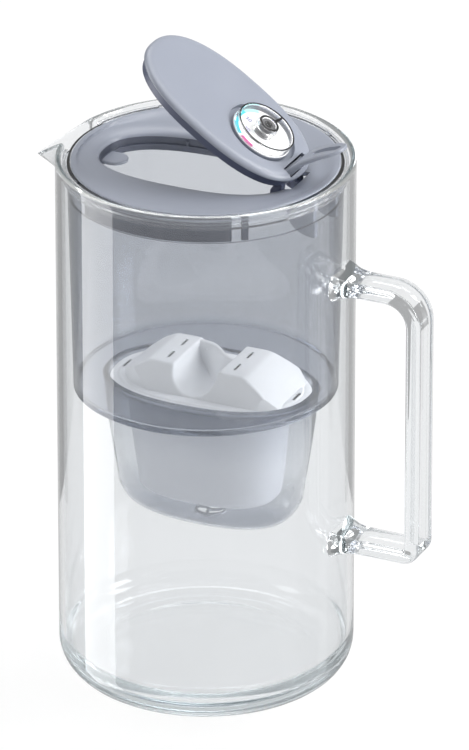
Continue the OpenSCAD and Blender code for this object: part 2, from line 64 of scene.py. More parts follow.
class Body(Enum):
    """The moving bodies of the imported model."""

    JUG = "jug"
    HOPPER = "hopper_unit"
    CARTRIDGE = "cartridge"
    RING = "ring"
    LID = "lid"
    DIAL = "dial"


class Ends(Enum):
    """How a skin drawn through rings is closed."""

    CAPPED = "capped"
    JOINED = "joined"


class Cut(Enum):
    """What a second shape does to the first."""

    ADD = "UNION"
    REMOVE = "DIFFERENCE"
    KEEP = "INTERSECT"


# ---- drawing ----


@dataclass(frozen=True)
class Oval:
    """A level oval outline, in millimetres."""

    half_x: float
    half_y: float
    power: float = 2.0
    centre_x: float = 0.0

    def ring(self, grow: float, z: float, count: int = RING_POINTS) -> Ring:
        """Gives the points of the outline.

        Args:
            grow: How far the outline is pushed outwards.
            z: Height of the ring.
            count: Number of points.

        Returns:
            The points, counter-clockwise from +X.
        """
        a, b = self.half_x + grow, self.half_y + grow
        points = []
        for index in range(count):
            turn = math.tau * index / count
            c, s = math.cos(turn), math.sin(turn)
            reach = ((abs(c) / a) ** self.power + (abs(s) / b) ** self.power) ** (
                -1 / self.power
            )
            points.append(Vector((self.centre_x + reach * c, reach * s, z)))
        return points


def circle(radius: float, centre_x: float = 0.0) -> Oval:
    """Gives a round outline of that radius."""
    return Oval(radius, radius, 2.0, centre_x)


def round_corners(corners: Sequence[tuple[float, ...]], steps: int = 5) -> Profile:
    """Draws a profile whose inner corners are rounded.

    Args:
        corners: Distance from the axis, height and corner radius of each point.
        steps: Pieces that each rounding is drawn with.

    Returns:
        The points of the rounded profile.
    """
    path: Profile = []
    for index, (x, z, radius) in enumerate(corners):
        if radius <= 0 or index in (0, len(corners) - 1):
            path.append((x, z))
            continue
        here = Vector((x, z))
        back = (Vector(corners[index - 1][:2]) - here).normalized()
        on = (Vector(corners[index + 1][:2]) - here).normalized()
        half = math.acos(max(-1.0, min(1.0, back.dot(on)))) / 2
        centre = here + (back + on).normalized() * (radius / math.sin(half))
        start = here + back * (radius / math.tan(half)) - centre
        end = here + on * (radius / math.tan(half)) - centre
        first = math.atan2(start.y, start.x)
        sweep = math.atan2(end.y, end.x) - first
        sweep = (sweep + math.pi) % math.tau - math.pi
        for step in range(steps + 1):
            turn = first + sweep * step / steps
            path.append(
                (centre.x + radius * math.cos(turn), centre.y + radius * math.sin(turn))
            )
    return path


def arc_points(
    centre: tuple[float, float], radius: float, first: float, last: float, steps: int
) -> Profile:
    """Draws an arc of a profile.

    Args:
        centre: Distance from the axis and height of the arc's centre.
        radius: Radius of the arc.
        first: Angle of its first point, in degrees.
        last: Angle of its last point, in degrees.
        steps: Pieces that it is drawn with.

    Returns:
        The points of the arc, both ends included.
    """
    points = []
    for step in range(steps + 1):
        turn = math.radians(first + (last - first) * step / steps)
        points.append(
            (centre[0] + radius * math.cos(turn), centre[1] + radius * math.sin(turn))
        )
    return points


def rounded_box_ring(
    centre: Vector,
    across: Vector,
    up: Vector,
    half_across: float,
    half_up: float,
    radius: float,
    corner_steps: int = 6,
) -> Ring:
    """Gives a ring in the shape of a rectangle with round corners.

    Args:
        centre: Middle of the rectangle.
        across: Unit vector along its width.
        up: Unit vector along its height.
        half_across: Half the width.
        half_up: Half the height.
        radius: Corner radius.
        corner_steps: Pieces that each corner is drawn with.

    Returns:
        The points of the ring.
    """
    points = []
    for quarter, (sx, sy) in enumerate(((1, 1), (-1, 1), (-1, -1), (1, -1))):
        for step in range(corner_steps + 1):
            turn = math.radians(90 * quarter + 90 * step / corner_steps)
            x = sx * (half_across - radius) + radius * math.cos(turn)
            y = sy * (half_up - radius) + radius * math.sin(turn)
            points.append(centre + across * x + up * y)
    return points


def curve_through(points: Sequence[Vector], steps: int) -> list[Vector]:
    """Draws a smooth curve through points.

    Args:
        points: The points, in order.
        steps: Pieces that each stretch between two points is drawn with.

    Returns:
        The points of the curve, both ends included.
    """
    line = [points[0]]
    for index, (a, b) in enumerate(zip(points, points[1:])):
        before = points[max(index - 1, 0)]
        after = points[min(index + 2, len(points) - 1)]
        leave = (b - before) / (2 if index else 1)
        arrive = (after - a) / (2 if index < len(points) - 2 else 1)
        for step in range(1, steps + 1):
            t = step / steps
            line.append(
                a * (2 * t**3 - 3 * t**2 + 1)
                + leave * (t**3 - 2 * t**2 + t)
                + b * (3 * t**2 - 2 * t**3)
                + arrive * (t**3 - t**2)
            )
    return line


def ease(share: float, soft: float) -> float:
    """Lets a rise from 0 to 1 start softly."""
    return share * share / (share + soft) * (1 + soft)


def pull_in(outline: Profile, inset: float) -> Profile:
    """Draws a closed outline smaller by the same distance all round.

    Args:
        outline: The points of the outline, clockwise.
        inset: How far each side moves inwards.

    Returns:
        The points of the smaller outline.
    """
    points = [Vector(point) for point in outline]
    drawn = []
    for index, here in enumerate(points):
        back = (here - points[index - 1]).normalized()
        on = (points[(index + 1) % len(points)] - here).normalized()
        inward = Vector((back.y, -back.x)) + Vector((on.y, -on.x))
        reach = inset / max(0.5, (1 + back.dot(on)) / 2) / 2
        moved = here + inward * reach
        drawn.append((moved.x, moved.y))
    return drawn


def clear_selection() -> None:
    """Leaves edit mode and deselects every object."""
    if bpy.context.mode != "OBJECT":
        bpy.ops.object.mode_set(mode="OBJECT")
    bpy.ops.object.select_all(action="DESELECT")


def pick(piece: Piece) -> None:
    """Selects one piece alone and makes it the active one.

    Args:
        piece: The piece.
    """
    clear_selection()
    piece.select_set(True)
    bpy.context.view_layer.objects.active = piece


def start_drawing(name: str) -> Piece:
    """Names the primitive just added and opens it in edit mode.

    Args:
        name: Name of the piece.

    Returns:
        The piece, in edit mode.
    """
    piece = bpy.context.active_object
    piece.name = name
    piece.data.name = name
    bpy.ops.object.mode_set(mode="EDIT")
    bpy.ops.mesh.select_mode(type="VERT")
    return piece


def close_drawing(piece: Piece) -> Piece:
    """Merges doubles, turns the faces outwards and leaves edit mode.

    Args:
        piece: The piece in edit mode.

    Returns:
        The same piece.
    """
    bpy.ops.mesh.select_all(action="SELECT")
    bpy.ops.mesh.remove_doubles(threshold=TINY)
    bpy.ops.mesh.normals_make_consistent(inside=False)
    bpy.ops.object.mode_set(mode="OBJECT")
    return piece


def close_open_edges() -> None:
    """Fills each open border of the piece in edit mode with one face."""
    bpy.ops.mesh.select_all(action="DESELECT")
    bpy.ops.mesh.select_mode(type="EDGE")
    bpy.ops.mesh.select_non_manifold(
        extend=False,
        use_wire=False,
        use_boundary=True,
        use_multi_face=False,
        use_non_contiguous=False,
        use_verts=False,
    )
    bpy.ops.mesh.edge_face_add()


def draw_skin(name: str, rings: Sequence[Ring], ends: Ends) -> Piece:
    """Draws a skin by extruding a circle from ring to ring.

    Args:
        name: Name of the piece.
        rings: The rings, all with the same number of points.
        ends: How the skin is closed.

    Returns:
        The new piece.
    """
    clear_selection()
    bpy.ops.mesh.primitive_circle_add(vertices=len(rings[0]), radius=1.0)
    piece = start_drawing(name)
    mesh = bmesh.from_edit_mesh(piece.data)
    seat = mesh.verts.layers.int.new("seat")
    mesh.verts.ensure_lookup_table()
    for index, vertex in enumerate(mesh.verts):
        vertex[seat] = index
        vertex.co = rings[0][index]
    bmesh.update_edit_mesh(piece.data)
    bpy.ops.mesh.select_all(action="SELECT")
    stations = list(rings[1:])
    if ends is Ends.JOINED:
        stations.append(rings[0])
    for ring in stations:
        bpy.ops.mesh.extrude_region_move(TRANSFORM_OT_translate={"value": (0, 0, 1)})
        mesh = bmesh.from_edit_mesh(piece.data)
        seat = mesh.verts.layers.int["seat"]
        for vertex in mesh.verts:
            if vertex.select:
                vertex.co = ring[vertex[seat]]
        bmesh.update_edit_mesh(piece.data)
    if ends is Ends.CAPPED:
        bpy.ops.mesh.edge_face_add()
        close_open_edges()
    close_drawing(piece)
    piece.data.attributes.remove(piece.data.attributes["seat"])
    return piece


@dataclass(frozen=True)
class Arc:
    """A stretch of a turned piece."""

    degrees: float
    steps: int


def turn_profile(
    name: str,
    profile: Profile | Rows,
    arcs: Sequence[Arc] = (Arc(360, 96),),
    start: float = 0.0,
) -> Piece:
    """Draws a profile vertex by vertex and spins it about Z.

    Args:
        name: Name of the piece.
        profile: Distance from the axis and height of each point. Where the last
            point is the first one again, the piece is a closed ring.
        arcs: The stretches that the profile is spun through.
        start: Angle at which the first stretch starts, in degrees.

    Returns:
        The new piece.
    """
    clear_selection()
    bpy.ops.mesh.primitive_plane_add(size=1)
    piece = start_drawing(name)
    bpy.ops.mesh.merge(type="CENTER")
    c, s = math.cos(math.radians(start)), math.sin(math.radians(start))
    path = [Vector((r * c, r * s, z)) for r, z in profile]
    mesh = bmesh.from_edit_mesh(piece.data)
    for vertex in mesh.verts:
        vertex.co = path[0]
        vertex.select = True
    bmesh.update_edit_mesh(piece.data)
    for here, there in zip(path, path[1:]):
        bpy.ops.mesh.extrude_region_move(
            TRANSFORM_OT_translate={"value": tuple(there - here)}
        )
    bpy.ops.mesh.select_all(action="SELECT")
    for arc in arcs:
        bpy.ops.mesh.spin(
            steps=arc.steps,
            angle=-math.radians(arc.degrees),
            center=(0, 0, 0),
            axis=(0, 0, 1),
        )
    bpy.ops.mesh.select_all(action="SELECT")
    bpy.ops.mesh.remove_doubles(threshold=TINY)
    if sum(abs(arc.degrees) for arc in arcs) < 359.9:
        close_open_edges()
    return close_drawing(piece)


def cast_block(name: str, low: Sequence[float], high: Sequence[float]) -> Piece:
    """Adds a block between two corners, at its size and place.

    Args:
        name: Name of the piece.
        low: Its corner nearest to the axes' low ends.
        high: The corner opposite.

    Returns:
        The new piece.
    """
    clear_selection()
    bpy.ops.mesh.primitive_cube_add(size=1.0)
    piece = start_drawing(name)
    bpy.ops.transform.resize(value=tuple(h - l for l, h in zip(low, high)))
    bpy.ops.transform.translate(value=tuple((l + h) / 2 for l, h in zip(low, high)))
    bpy.ops.object.mode_set(mode="OBJECT")
    return piece


def cast_rod(
    name: str, start: Vector, end: Vector, radius: float, sides: int = 48
) -> Piece:
    """Adds a round rod from one point to another.

    Args:
        name: Name of the piece.
        start: Centre of one end.
        end: Centre of the other end.
        radius: Radius of the rod.
        sides: Number of faces round it.

    Returns:
        The new piece.
    """
    clear_selection()
    along = end - start
    bpy.ops.mesh.primitive_cylinder_add(
        vertices=sides, radius=radius, depth=along.length
    )
    piece = start_drawing(name)
    bpy.ops.object.mode_set(mode="OBJECT")
    piece.data.transform(
        Matrix.Translation((start + end) / 2)
        @ along.to_track_quat("Z", "Y").to_matrix().to_4x4()
    )
    return piece


def slice_off(piece: Piece, point: Sequence[float], normal: Sequence[float]) -> None:
    """Cuts away what lies on the normal's side of a plane and closes the cut.

    Args:
        piece: The piece.
        point: A point of the plane.
        normal: Direction of the side that is cut away.
    """
    pick(piece)
    bpy.ops.object.mode_set(mode="EDIT")
    bpy.ops.mesh.select_all(action="SELECT")
    bpy.ops.mesh.bisect(
        plane_co=tuple(point),
        plane_no=tuple(Vector(normal).normalized()),
        clear_outer=True,
        use_fill=True,
    )
    bpy.ops.object.mode_set(mode="OBJECT")


def combine(base: Piece, tool: Piece, cut: Cut) -> Piece:
    """Adds a shape to a piece or takes it away, and removes the tool.

    Args:
        base: The piece.
        tool: The second shape.
        cut: What the tool does.

    Returns:
        The same piece.
    """
    modifier = base.modifiers.new(cut.name.lower(), "BOOLEAN")
    modifier.operation = cut.value
    modifier.solver = "EXACT"
    modifier.object = tool
    pick(base)
    bpy.ops.object.modifier_apply(modifier=modifier.name)
    bpy.data.objects.remove(tool)
    return base


def soften_edges(
    piece: Piece, width: float, segments: int = 2, angle: float = 40.0
) -> Piece:
    """Rounds the edges of a piece that are sharper than an angle.

    Args:
        piece: The piece.
        width: Width of the rounding.
        segments: Pieces that each rounding is drawn with.
        angle: Least angle between two faces, in degrees.

    Returns:
        The same piece.
    """
    modifier = piece.modifiers.new("rounding", "BEVEL")
    modifier.width = width
    modifier.segments = segments
    modifier.limit_method = "ANGLE"
    modifier.angle_limit = math.radians(angle)
    modifier.use_clamp_overlap = True
    modifier.miter_outer = "MITER_ARC"
    pick(piece)
    bpy.ops.object.modifier_apply(modifier=modifier.name)
    return piece


def finish_piece(piece: Piece, smooth: float = 32.0) -> Piece:
    """Scales a piece from millimetres to metres and smooths its shading.

    Args:
        piece: The piece.
        smooth: Angle up to which an edge is shaded round, in degrees.

    Returns:
        The same piece.
    """
    piece.data.transform(Matrix.Scale(MM, 4))
    piece.data.update()
    pick(piece)
    bpy.ops.object.shade_smooth_by_angle(angle=math.radians(smooth))
    modifier = piece.modifiers.new("flat_faces", "WEIGHTED_NORMAL")
    modifier.keep_sharp = True
    bpy.ops.object.modifier_apply(modifier=modifier.name)
    clear_selection()
    return piece


# ---- surfaces ----


class NodeBoard:
    """Adds and links the nodes of one material or group."""

    def __init__(self, tree: bpy.types.NodeTree) -> None:
        """Starts on a node tree."""
        self.tree = tree

    def add(self, kind: str, **values: object) -> bpy.types.Node:
        """Adds a node and sets its properties and sockets.

        Args:
            kind: Blender's name of the node type.
            **values: Properties of the node, and values or links of its sockets.
                An underscore in a socket's name stands for a space.

        Returns:
            The new node.
        """
        node = self.tree.nodes.new(kind)
        for key, value in values.items():
            if hasattr(node, key):
                setattr(node, key, value)
        for key, value in values.items():
            if hasattr(node, key):
                continue
            if key.startswith("in_"):
                socket = node.inputs[int(key[3:])]
            else:
                socket = node.inputs[key.replace("_", " ")]
            if isinstance(value, bpy.types.NodeSocket):
                self.tree.links.new(value, socket)
            else:
                socket.default_value = value
        return node

    def noise(self, place: Socket, **values: object) -> Socket:
        """Adds a noise texture and returns its level."""
        return self.add("ShaderNodeTexNoise", Vector=place, **values).outputs["Fac"]

    def spread(self, value: Socket, **limits: object) -> Socket:
        """Maps a value from one range to another."""
        node = self.add("ShaderNodeMapRange", Value=value, **limits)
        return node.outputs["Result"]

    def effect(self, tree: bpy.types.NodeTree, place: Socket, **values: object) -> Any:
        """Adds a shared effect and returns its outputs."""
        node = self.add("ShaderNodeGroup", node_tree=tree, Vector=place, **values)
        return node.outputs

    def bump(self, height: Socket, strength: float, distance: float) -> Socket:
        """Adds a bump and returns its normal."""
        values = {"Height": height, "Strength": strength, "Distance": distance}
        return self.add("ShaderNodeBump", **values).outputs["Normal"]

    def principled(self, **values: object) -> bpy.types.Node:
        """Adds the surface shader."""
        return self.add("ShaderNodeBsdfPrincipled", **values)

    def show(self, surface: Socket, **others: Socket) -> None:
        """Puts a surface on the material's output."""
        self.add("ShaderNodeOutputMaterial", Surface=surface, **others)

    def maths(self, operation: str, *values: object) -> Socket:
        """Adds a maths node and returns its result."""
        inputs = {f"in_{i}": value for i, value in enumerate(values)}
        return self.add("ShaderNodeMath", operation=operation, **inputs).outputs[0]

    def between(self, value: Socket, low: float, high: float) -> Socket:
        """Gives 1 where a value lies between two limits."""
        above = self.maths("GREATER_THAN", value, low)
        return self.maths("MULTIPLY", above, self.maths("LESS_THAN", value, high))

    def mix(self, share: object, first: object, second: object) -> Socket:
        """Mixes two colours.

        Args:
            share: How much of the second colour is taken.
            first: A colour or a link.
            second: A colour or a link.

        Returns:
            The mixed colour.
        """
        node = self.add("ShaderNodeMix", data_type="RGBA")
        for index, value in ((0, share), (6, first), (7, second)):
            if isinstance(value, bpy.types.NodeSocket):
                self.tree.links.new(value, node.inputs[index])
            else:
                node.inputs[index].default_value = value
        return node.outputs[2]


class Effects:
    """Shared surface effects, each built once as a node group."""

    @staticmethod
    def group(
        name: str, inputs: dict[str, tuple[str, object]], outputs: dict[str, str]
    ) -> tuple[bpy.types.NodeTree, bool]:
        """Finds a group, or makes it with its sockets.

        Args:
            name: Name of the group.
            inputs: Socket type and default of each input.
            outputs: Socket type of each output.

        Returns:
            The group, and whether it is new.
        """
        known = bpy.data.node_groups.get(name)
        if known:
            return known, False
        tree = bpy.data.node_groups.new(name, "ShaderNodeTree")
        for label, (kind, default) in inputs.items():
            socket = tree.interface.new_socket(label, in_out="INPUT", socket_type=kind)
            if default is not None:
                socket.default_value = default
        for label, kind in outputs.items():
            tree.interface.new_socket(label, in_out="OUTPUT", socket_type=kind)
        return tree, True

    @classmethod
    def grain(cls) -> bpy.types.NodeTree:
        """Fine moulded grain with faint flow waves, as a height.

        Returns:
            The group: Vector, Scale and Waves in, Height out.
        """
        tree, new = cls.group(
            "moulded_grain",
            {
                "Vector": ("NodeSocketVector", None),
                "Scale": ("NodeSocketFloat", 900.0),
                "Waves": ("NodeSocketFloat", 0.3),
            },
            {"Height": "NodeSocketFloat"},
        )
        if new:
            board = NodeBoard(tree)
            given = board.add("NodeGroupInput").outputs
            fine = board.noise(given["Vector"], Scale=given["Scale"], Detail=3.0)
            wide = board.noise(given["Vector"], Scale=38.0, Detail=2.0)
            height = board.maths(
                "ADD", fine, board.maths("MULTIPLY", wide, given["Waves"])
            )
            board.add("NodeGroupOutput", Height=height)
        return tree

    @classmethod
    def smudges(cls) -> bpy.types.NodeTree:
        """Soft handling marks that change the roughness a little.

        Returns:
            The group: Vector, Scale, Low and High in, Roughness and Mask out.
        """
        tree, new = cls.group(
            "handling_marks",
            {
                "Vector": ("NodeSocketVector", None),
                "Scale": ("NodeSocketFloat", 30.0),
                "Low": ("NodeSocketFloat", 0.3),
                "High": ("NodeSocketFloat", 0.4),
            },
            {"Roughness": "NodeSocketFloat", "Mask": "NodeSocketFloat"},
        )
        if new:
            board = NodeBoard(tree)
            given = board.add("NodeGroupInput").outputs
            cloud = board.noise(
                given["Vector"],
                Scale=given["Scale"],
                Detail=5.0,
                Roughness=0.6,
                Distortion=0.8,
            )
            mask = board.spread(cloud, From_Min=0.35, From_Max=0.7)
            rough = board.spread(mask, To_Min=given["Low"], To_Max=given["High"])
            board.add("NodeGroupOutput", Roughness=rough, Mask=mask)
        return tree

    @classmethod
    def tone(cls) -> bpy.types.NodeTree:
        """A slow drift of colour, as in coloured plastic.

        Returns:
            The group: Vector, Scale, Color and Deep in, Color out.
        """
        tree, new = cls.group(
            "tone_drift",
            {
                "Vector": ("NodeSocketVector", None),
                "Scale": ("NodeSocketFloat", 14.0),
                "Color": ("NodeSocketColor", None),
                "Deep": ("NodeSocketColor", None),
            },
            {"Color": "NodeSocketColor"},
        )
        if new:
            board = NodeBoard(tree)
            given = board.add("NodeGroupInput").outputs
            cloud = board.noise(given["Vector"], Scale=given["Scale"], Detail=4.0)
            share = board.spread(cloud, From_Min=0.35, From_Max=0.65)
            board.add(
                "NodeGroupOutput", Color=board.mix(share, given["Color"], given["Deep"])
            )
        return tree


Color = tuple[float, float, float]


def shade(color: Color, factor: float = 1.0) -> tuple[float, float, float, float]:
    """Gives a colour, made lighter or darker, with full alpha."""
    return (color[0] * factor, color[1] * factor, color[2] * factor, 1.0)


def new_material(name: str) -> tuple[bpy.types.Material, NodeBoard, Socket]:
    """Makes an empty material.

    Args:
        name: Name of the material.

    Returns:
        The material, its board and its Object coordinates.
    """
    material = bpy.data.materials.new(name)
    material.use_nodes = True
    material.node_tree.nodes.clear()
    board = NodeBoard(material.node_tree)
    place = board.add("ShaderNodeTexCoord").outputs["Object"]
    return material, board, place


@dataclass(frozen=True)
class SatinPlastic:
    """Coloured plastic with a fine moulded grain."""

    name: str
    color: Color
    deep: Color
    rough_low: float = 0.3
    rough_high: float = 0.4
    grain: float = 0.00002
    grain_scale: float = 900.0

    def make(self) -> bpy.types.Material:
        """Builds the material.

        Returns:
            The new material.
        """
        material, board, place = new_material(self.name)
        tone = board.effect(
            Effects.tone(), place, Color=shade(self.color), Deep=shade(self.deep)
        )
        marks = board.effect(
            Effects.smudges(), place, Low=self.rough_low, High=self.rough_high
        )
        grain = board.effect(Effects.grain(), place, Scale=self.grain_scale)
        surface = board.principled(
            Base_Color=tone["Color"],
            Roughness=marks["Roughness"],
            Normal=board.bump(grain["Height"], 0.5, self.grain),
            IOR=1.5,
        )
        board.show(surface.outputs[0])
        return material


@dataclass(frozen=True)
class ClearSolid:
    """Glass or clear plastic that takes up a little light along its way.

    Light for the pieces behind it passes straight through, and so does a ray
    that has turned many times inside. The skin's colour can change with height,
    to paint shade and light.
    """

    name: str
    ior: float
    tint: Color
    density: float
    skin: Color = (1.0, 1.0, 1.0)
    skins: tuple[tuple[float, Color], ...] = ()
    rough_low: float = 0.0
    rough_high: float = 0.03
    waves: float = 0.00003
    wave_scale: float = 9.0
    passing: Color = (0.97, 0.97, 0.97)
    last_turn: float = 14.5

    def make(self) -> bpy.types.Material:
        """Builds the material.

        Returns:
            The new material.
        """
        material, board, place = new_material(self.name)
        marks = board.effect(
            Effects.smudges(),
            place,
            Scale=22.0,
            Low=self.rough_low,
            High=self.rough_high,
        )
        wave = board.noise(place, Scale=self.wave_scale, Detail=1.0)
        surface = board.principled(
            Base_Color=shade(self.skin),
            Roughness=marks["Roughness"],
            Normal=board.bump(wave, 0.4, self.waves),
            IOR=self.ior,
            Transmission_Weight=1.0,
        )
        if self.skins:
            material.node_tree.links.new(
                self.skin_by_height(board, place), surface.inputs["Base Color"]
            )
        path = board.add("ShaderNodeLightPath").outputs
        spent = board.maths("GREATER_THAN", path["Ray Depth"], self.last_turn)
        straight = board.maths(
            "MAXIMUM",
            spent,
            board.maths("MAXIMUM", path["Is Shadow Ray"], path["Is Diffuse Ray"]),
        )
        passing = board.add("ShaderNodeBsdfTransparent", Color=shade(self.passing))
        mixed = board.add(
            "ShaderNodeMixShader",
            in_0=straight,
            in_1=surface.outputs[0],
            in_2=passing.outputs[0],
        )
        depth = board.add(
            "ShaderNodeVolumeAbsorption", Color=shade(self.tint), Density=self.density
        )
        board.show(mixed.outputs[0], Volume=depth.outputs[0])
        return material

    def skin_by_height(self, board: NodeBoard, place: Socket) -> Socket:
        """Gives the skin's colour, which changes with the height.

        Args:
            board: Board of the material.
            place: Object coordinates.

        Returns:
            The colour.
        """
        low, high = self.skins[0][0], self.skins[-1][0]
        height = board.add("ShaderNodeSeparateXYZ", Vector=place).outputs[2]
        share = board.spread(height, From_Min=low * MM, From_Max=high * MM)
        ramp = board.add("ShaderNodeValToRGB", Fac=share)
        stops = ramp.color_ramp.elements
        while len(stops) < len(self.skins):
            stops.new(1.0)
        for stop, (z, color) in zip(stops, self.skins):
            stop.position = (z - low) / (high - low)
            stop.color = shade(color)
        return ramp.outputs["Color"]


@dataclass(frozen=True)
class GroundSteel:
    """Steel with fine turning marks."""

    name: str
    color: Color = (0.56, 0.57, 0.58)

    def make(self) -> bpy.types.Material:
        """Builds the material.

        Returns:
            The new material.
        """
        material, board, place = new_material(self.name)
        stretched = board.add("ShaderNodeMapping", Vector=place, Scale=(40, 900, 40))
        lines = board.noise(stretched.outputs[0], Scale=3.0, Detail=3.0)
        surface = board.principled(
            Base_Color=shade(self.color),
            Metallic=1.0,
            Roughness=board.spread(lines, To_Min=0.2, To_Max=0.42),
            Normal=board.bump(lines, 0.4, 0.00001),
        )
        board.show(surface.outputs[0])
        return material


@dataclass(frozen=True)
class Granules:
    """Loose dark granules, or with a lighter colour a fine mesh."""

    name: str
    color: Color
    gap: Color
    pitch: float

    def make(self) -> bpy.types.Material:
        """Builds the material.

        Returns:
            The new material.
        """
        material, board, place = new_material(self.name)
        cells = board.add(
            "ShaderNodeTexVoronoi", Vector=place, Scale=self.pitch, Randomness=0.9
        )
        distance = cells.outputs["Distance"]
        share = board.spread(distance, From_Min=0.2, From_Max=0.7)
        surface = board.principled(
            Base_Color=board.mix(share, shade(self.color), shade(self.gap)),
            Roughness=0.7,
            Normal=board.bump(distance, 0.8, 0.0003),
        )
        board.show(surface.outputs[0])
        return material


PALE_CYAN = (0.42, 0.78, 0.82)
CYAN = (0.0, 0.52, 0.63)
MAGENTA = (0.6, 0.0, 0.25)


@dataclass(frozen=True)
class PrintedCard:
    """White card with printed arcs, read from the dial's own centre and tilt."""

    name: str
    centre: tuple[float, float, float]
    tilt: float
    paper: Color = (0.95, 0.96, 0.97)
    band: tuple[float, float] = (11.9, 14.5)
    arcs: tuple[tuple[float, float, Color], ...] = (
        (128.0, 166.0, PALE_CYAN), (166.0, 180.1, CYAN),
        (-180.1, -119.0, CYAN), (-113.0, -83.0, MAGENTA),
    )

    def make(self) -> bpy.types.Material:
        """Builds the material.

        Returns:
            The new material.
        """
        material, board, place = new_material(self.name)
        back = Matrix.Rotation(-math.radians(self.tilt), 3, "Y")
        flat = board.add(
            "ShaderNodeMapping",
            Vector=place,
            Location=tuple(-(back @ Vector(self.centre))),
            Rotation=(0.0, -math.radians(self.tilt), 0.0),
        ).outputs[0]
        axes = board.add("ShaderNodeSeparateXYZ", Vector=flat).outputs
        turn = board.maths("ARCTAN2", axes[1], axes[0])
        turn = board.maths("MULTIPLY", turn, 180 / math.pi)
        squares = [board.maths("MULTIPLY", axes[i], axes[i]) for i in (0, 1)]
        reach = board.maths("SQRT", board.maths("ADD", *squares))
        inner, outer = self.band
        band = board.between(reach, inner * MM, outer * MM)
        color: object = shade(self.paper)
        for low, high, ink in self.arcs:
            share = board.maths("MULTIPLY", band, board.between(turn, low, high))
            color = board.mix(share, color, shade(ink))
        fibre = board.noise(place, Scale=2500.0, Detail=3.0)
        surface = board.principled(
            Base_Color=color,
            Roughness=board.spread(fibre, To_Min=0.35, To_Max=0.5),
            Normal=board.bump(fibre, 0.2, 0.00001),
        )
        board.show(surface.outputs[0])
        return material


class Slot(Enum):
    """Material slots of the record."""

    GLASS = "glass"
    HOPPER = "hopper_tint"
    WHITE = "white_plastic"
    SEAL = "clear_seal"
    MESH = "mesh"
    CARBON = "carbon"
    SLATE = "slate_plastic"
    SLATE_DARK = "slate_dark"
    CARD = "dial_white"
    CLEAR = "clear_plastic"
    INK = "black_print"
    STEEL = "steel"


GLASS_NODES = ("glass_base", "glass_wall", "glass_rim", "spout", "handle")
RING_NODES = ("lid_ring", "cheek_far", "cheek_near")
LID_SWING = 34.5
HINGE = Vector((48.5, 0.0, 244.5))
DIAL_X = 15.6
SWING = (
    Matrix.Translation(HINGE)
    @ Matrix.Rotation(math.radians(LID_SWING), 4, "Y")
    @ Matrix.Translation(-HINGE)
)
ON_DIAL = SWING @ Matrix.Translation((DIAL_X, 0.0, 0.0))
CARD_TOP = 256.1

FINISHES = {
    Slot.GLASS: ClearSolid(
        "clear_glass", 1.47, (0.5, 0.56, 0.58), 8.0, (0.885, 0.895, 0.905)
    ),
    Slot.HOPPER: ClearSolid(
        "smoky_plastic",
        1.49,
        (0.06, 0.12, 0.22),
        50.0,
        (0.745, 0.757, 0.785),
        # Painted shade and light by height: darker at the cup's foot and at the floor,
        # lighter on the cup and at the flange.
        skins=(
            (78.0, (0.49, 0.515, 0.565)), (79.2, (0.6, 0.62, 0.66)),
            (86.0, (0.74, 0.755, 0.785)), (96.0, (0.9, 0.91, 0.925)),
            (137.0, (0.9, 0.91, 0.925)), (142.5, (0.6, 0.625, 0.68)),
            (147.2, (0.6, 0.625, 0.68)), (150.0, (0.745, 0.757, 0.785)),
            (246.0, (0.745, 0.757, 0.785)), (250.5, (0.92, 0.93, 0.94)),
            (256.0, (0.92, 0.93, 0.94)),
        ),
        rough_low=0.01,
        rough_high=0.05,
        # Passing above 1 adds painted light to the pieces inside the hopper.
        passing=(1.25, 1.24, 1.22),
    ),
    Slot.WHITE: SatinPlastic(
        "white_plastic",
        (0.86, 0.87, 0.89),
        (0.83, 0.845, 0.87),
        grain_scale=1400.0,
    ),
    Slot.SEAL: ClearSolid(
        "clear_silicone",
        1.41,
        (0.8, 0.83, 0.86),
        30.0,
        rough_low=0.08,
        rough_high=0.16,
    ),
    Slot.MESH: Granules("fine_mesh", (0.7, 0.71, 0.72), (0.35, 0.36, 0.37), 1500.0),
    Slot.CARBON: Granules("carbon", (0.02, 0.02, 0.022), (0.1, 0.1, 0.11), 900.0),
    Slot.SLATE: SatinPlastic(
        "slate_plastic", (0.262, 0.283, 0.338), (0.247, 0.268, 0.322)
    ),
    Slot.SLATE_DARK: SatinPlastic(
        "slate_dark", (0.13, 0.15, 0.2), (0.12, 0.14, 0.185), 0.25, 0.36
    ),
    Slot.CARD: PrintedCard(
        "dial_card", tuple(ON_DIAL @ Vector((0, 0, CARD_TOP)) * MM), LID_SWING
    ),
    Slot.CLEAR: ClearSolid(
        "clear_plastic", 1.49, (0.9, 0.92, 0.93), 6.0, waves=0.0, passing=(1, 1, 1)
    ),
    Slot.INK: SatinPlastic(
        "black_ink", (0.008, 0.008, 0.01), (0.012, 0.012, 0.014), 0.2, 0.3
    ),
    Slot.STEEL: GroundSteel("pin_steel"),
}


class Extra(Enum):
    """Finishes of pieces that share a slot with other pieces."""

    NUMBERS = "number_ink"
    GRILLE = "grille_grey"
    SHADED_SKIRT = "skirt_slate"
    WALL = "wall_slate"
    LINER = "liner_slate"
    CORE = "grip_core"
    CASE = "case_white"
    SHADOW = "slot_shadow"


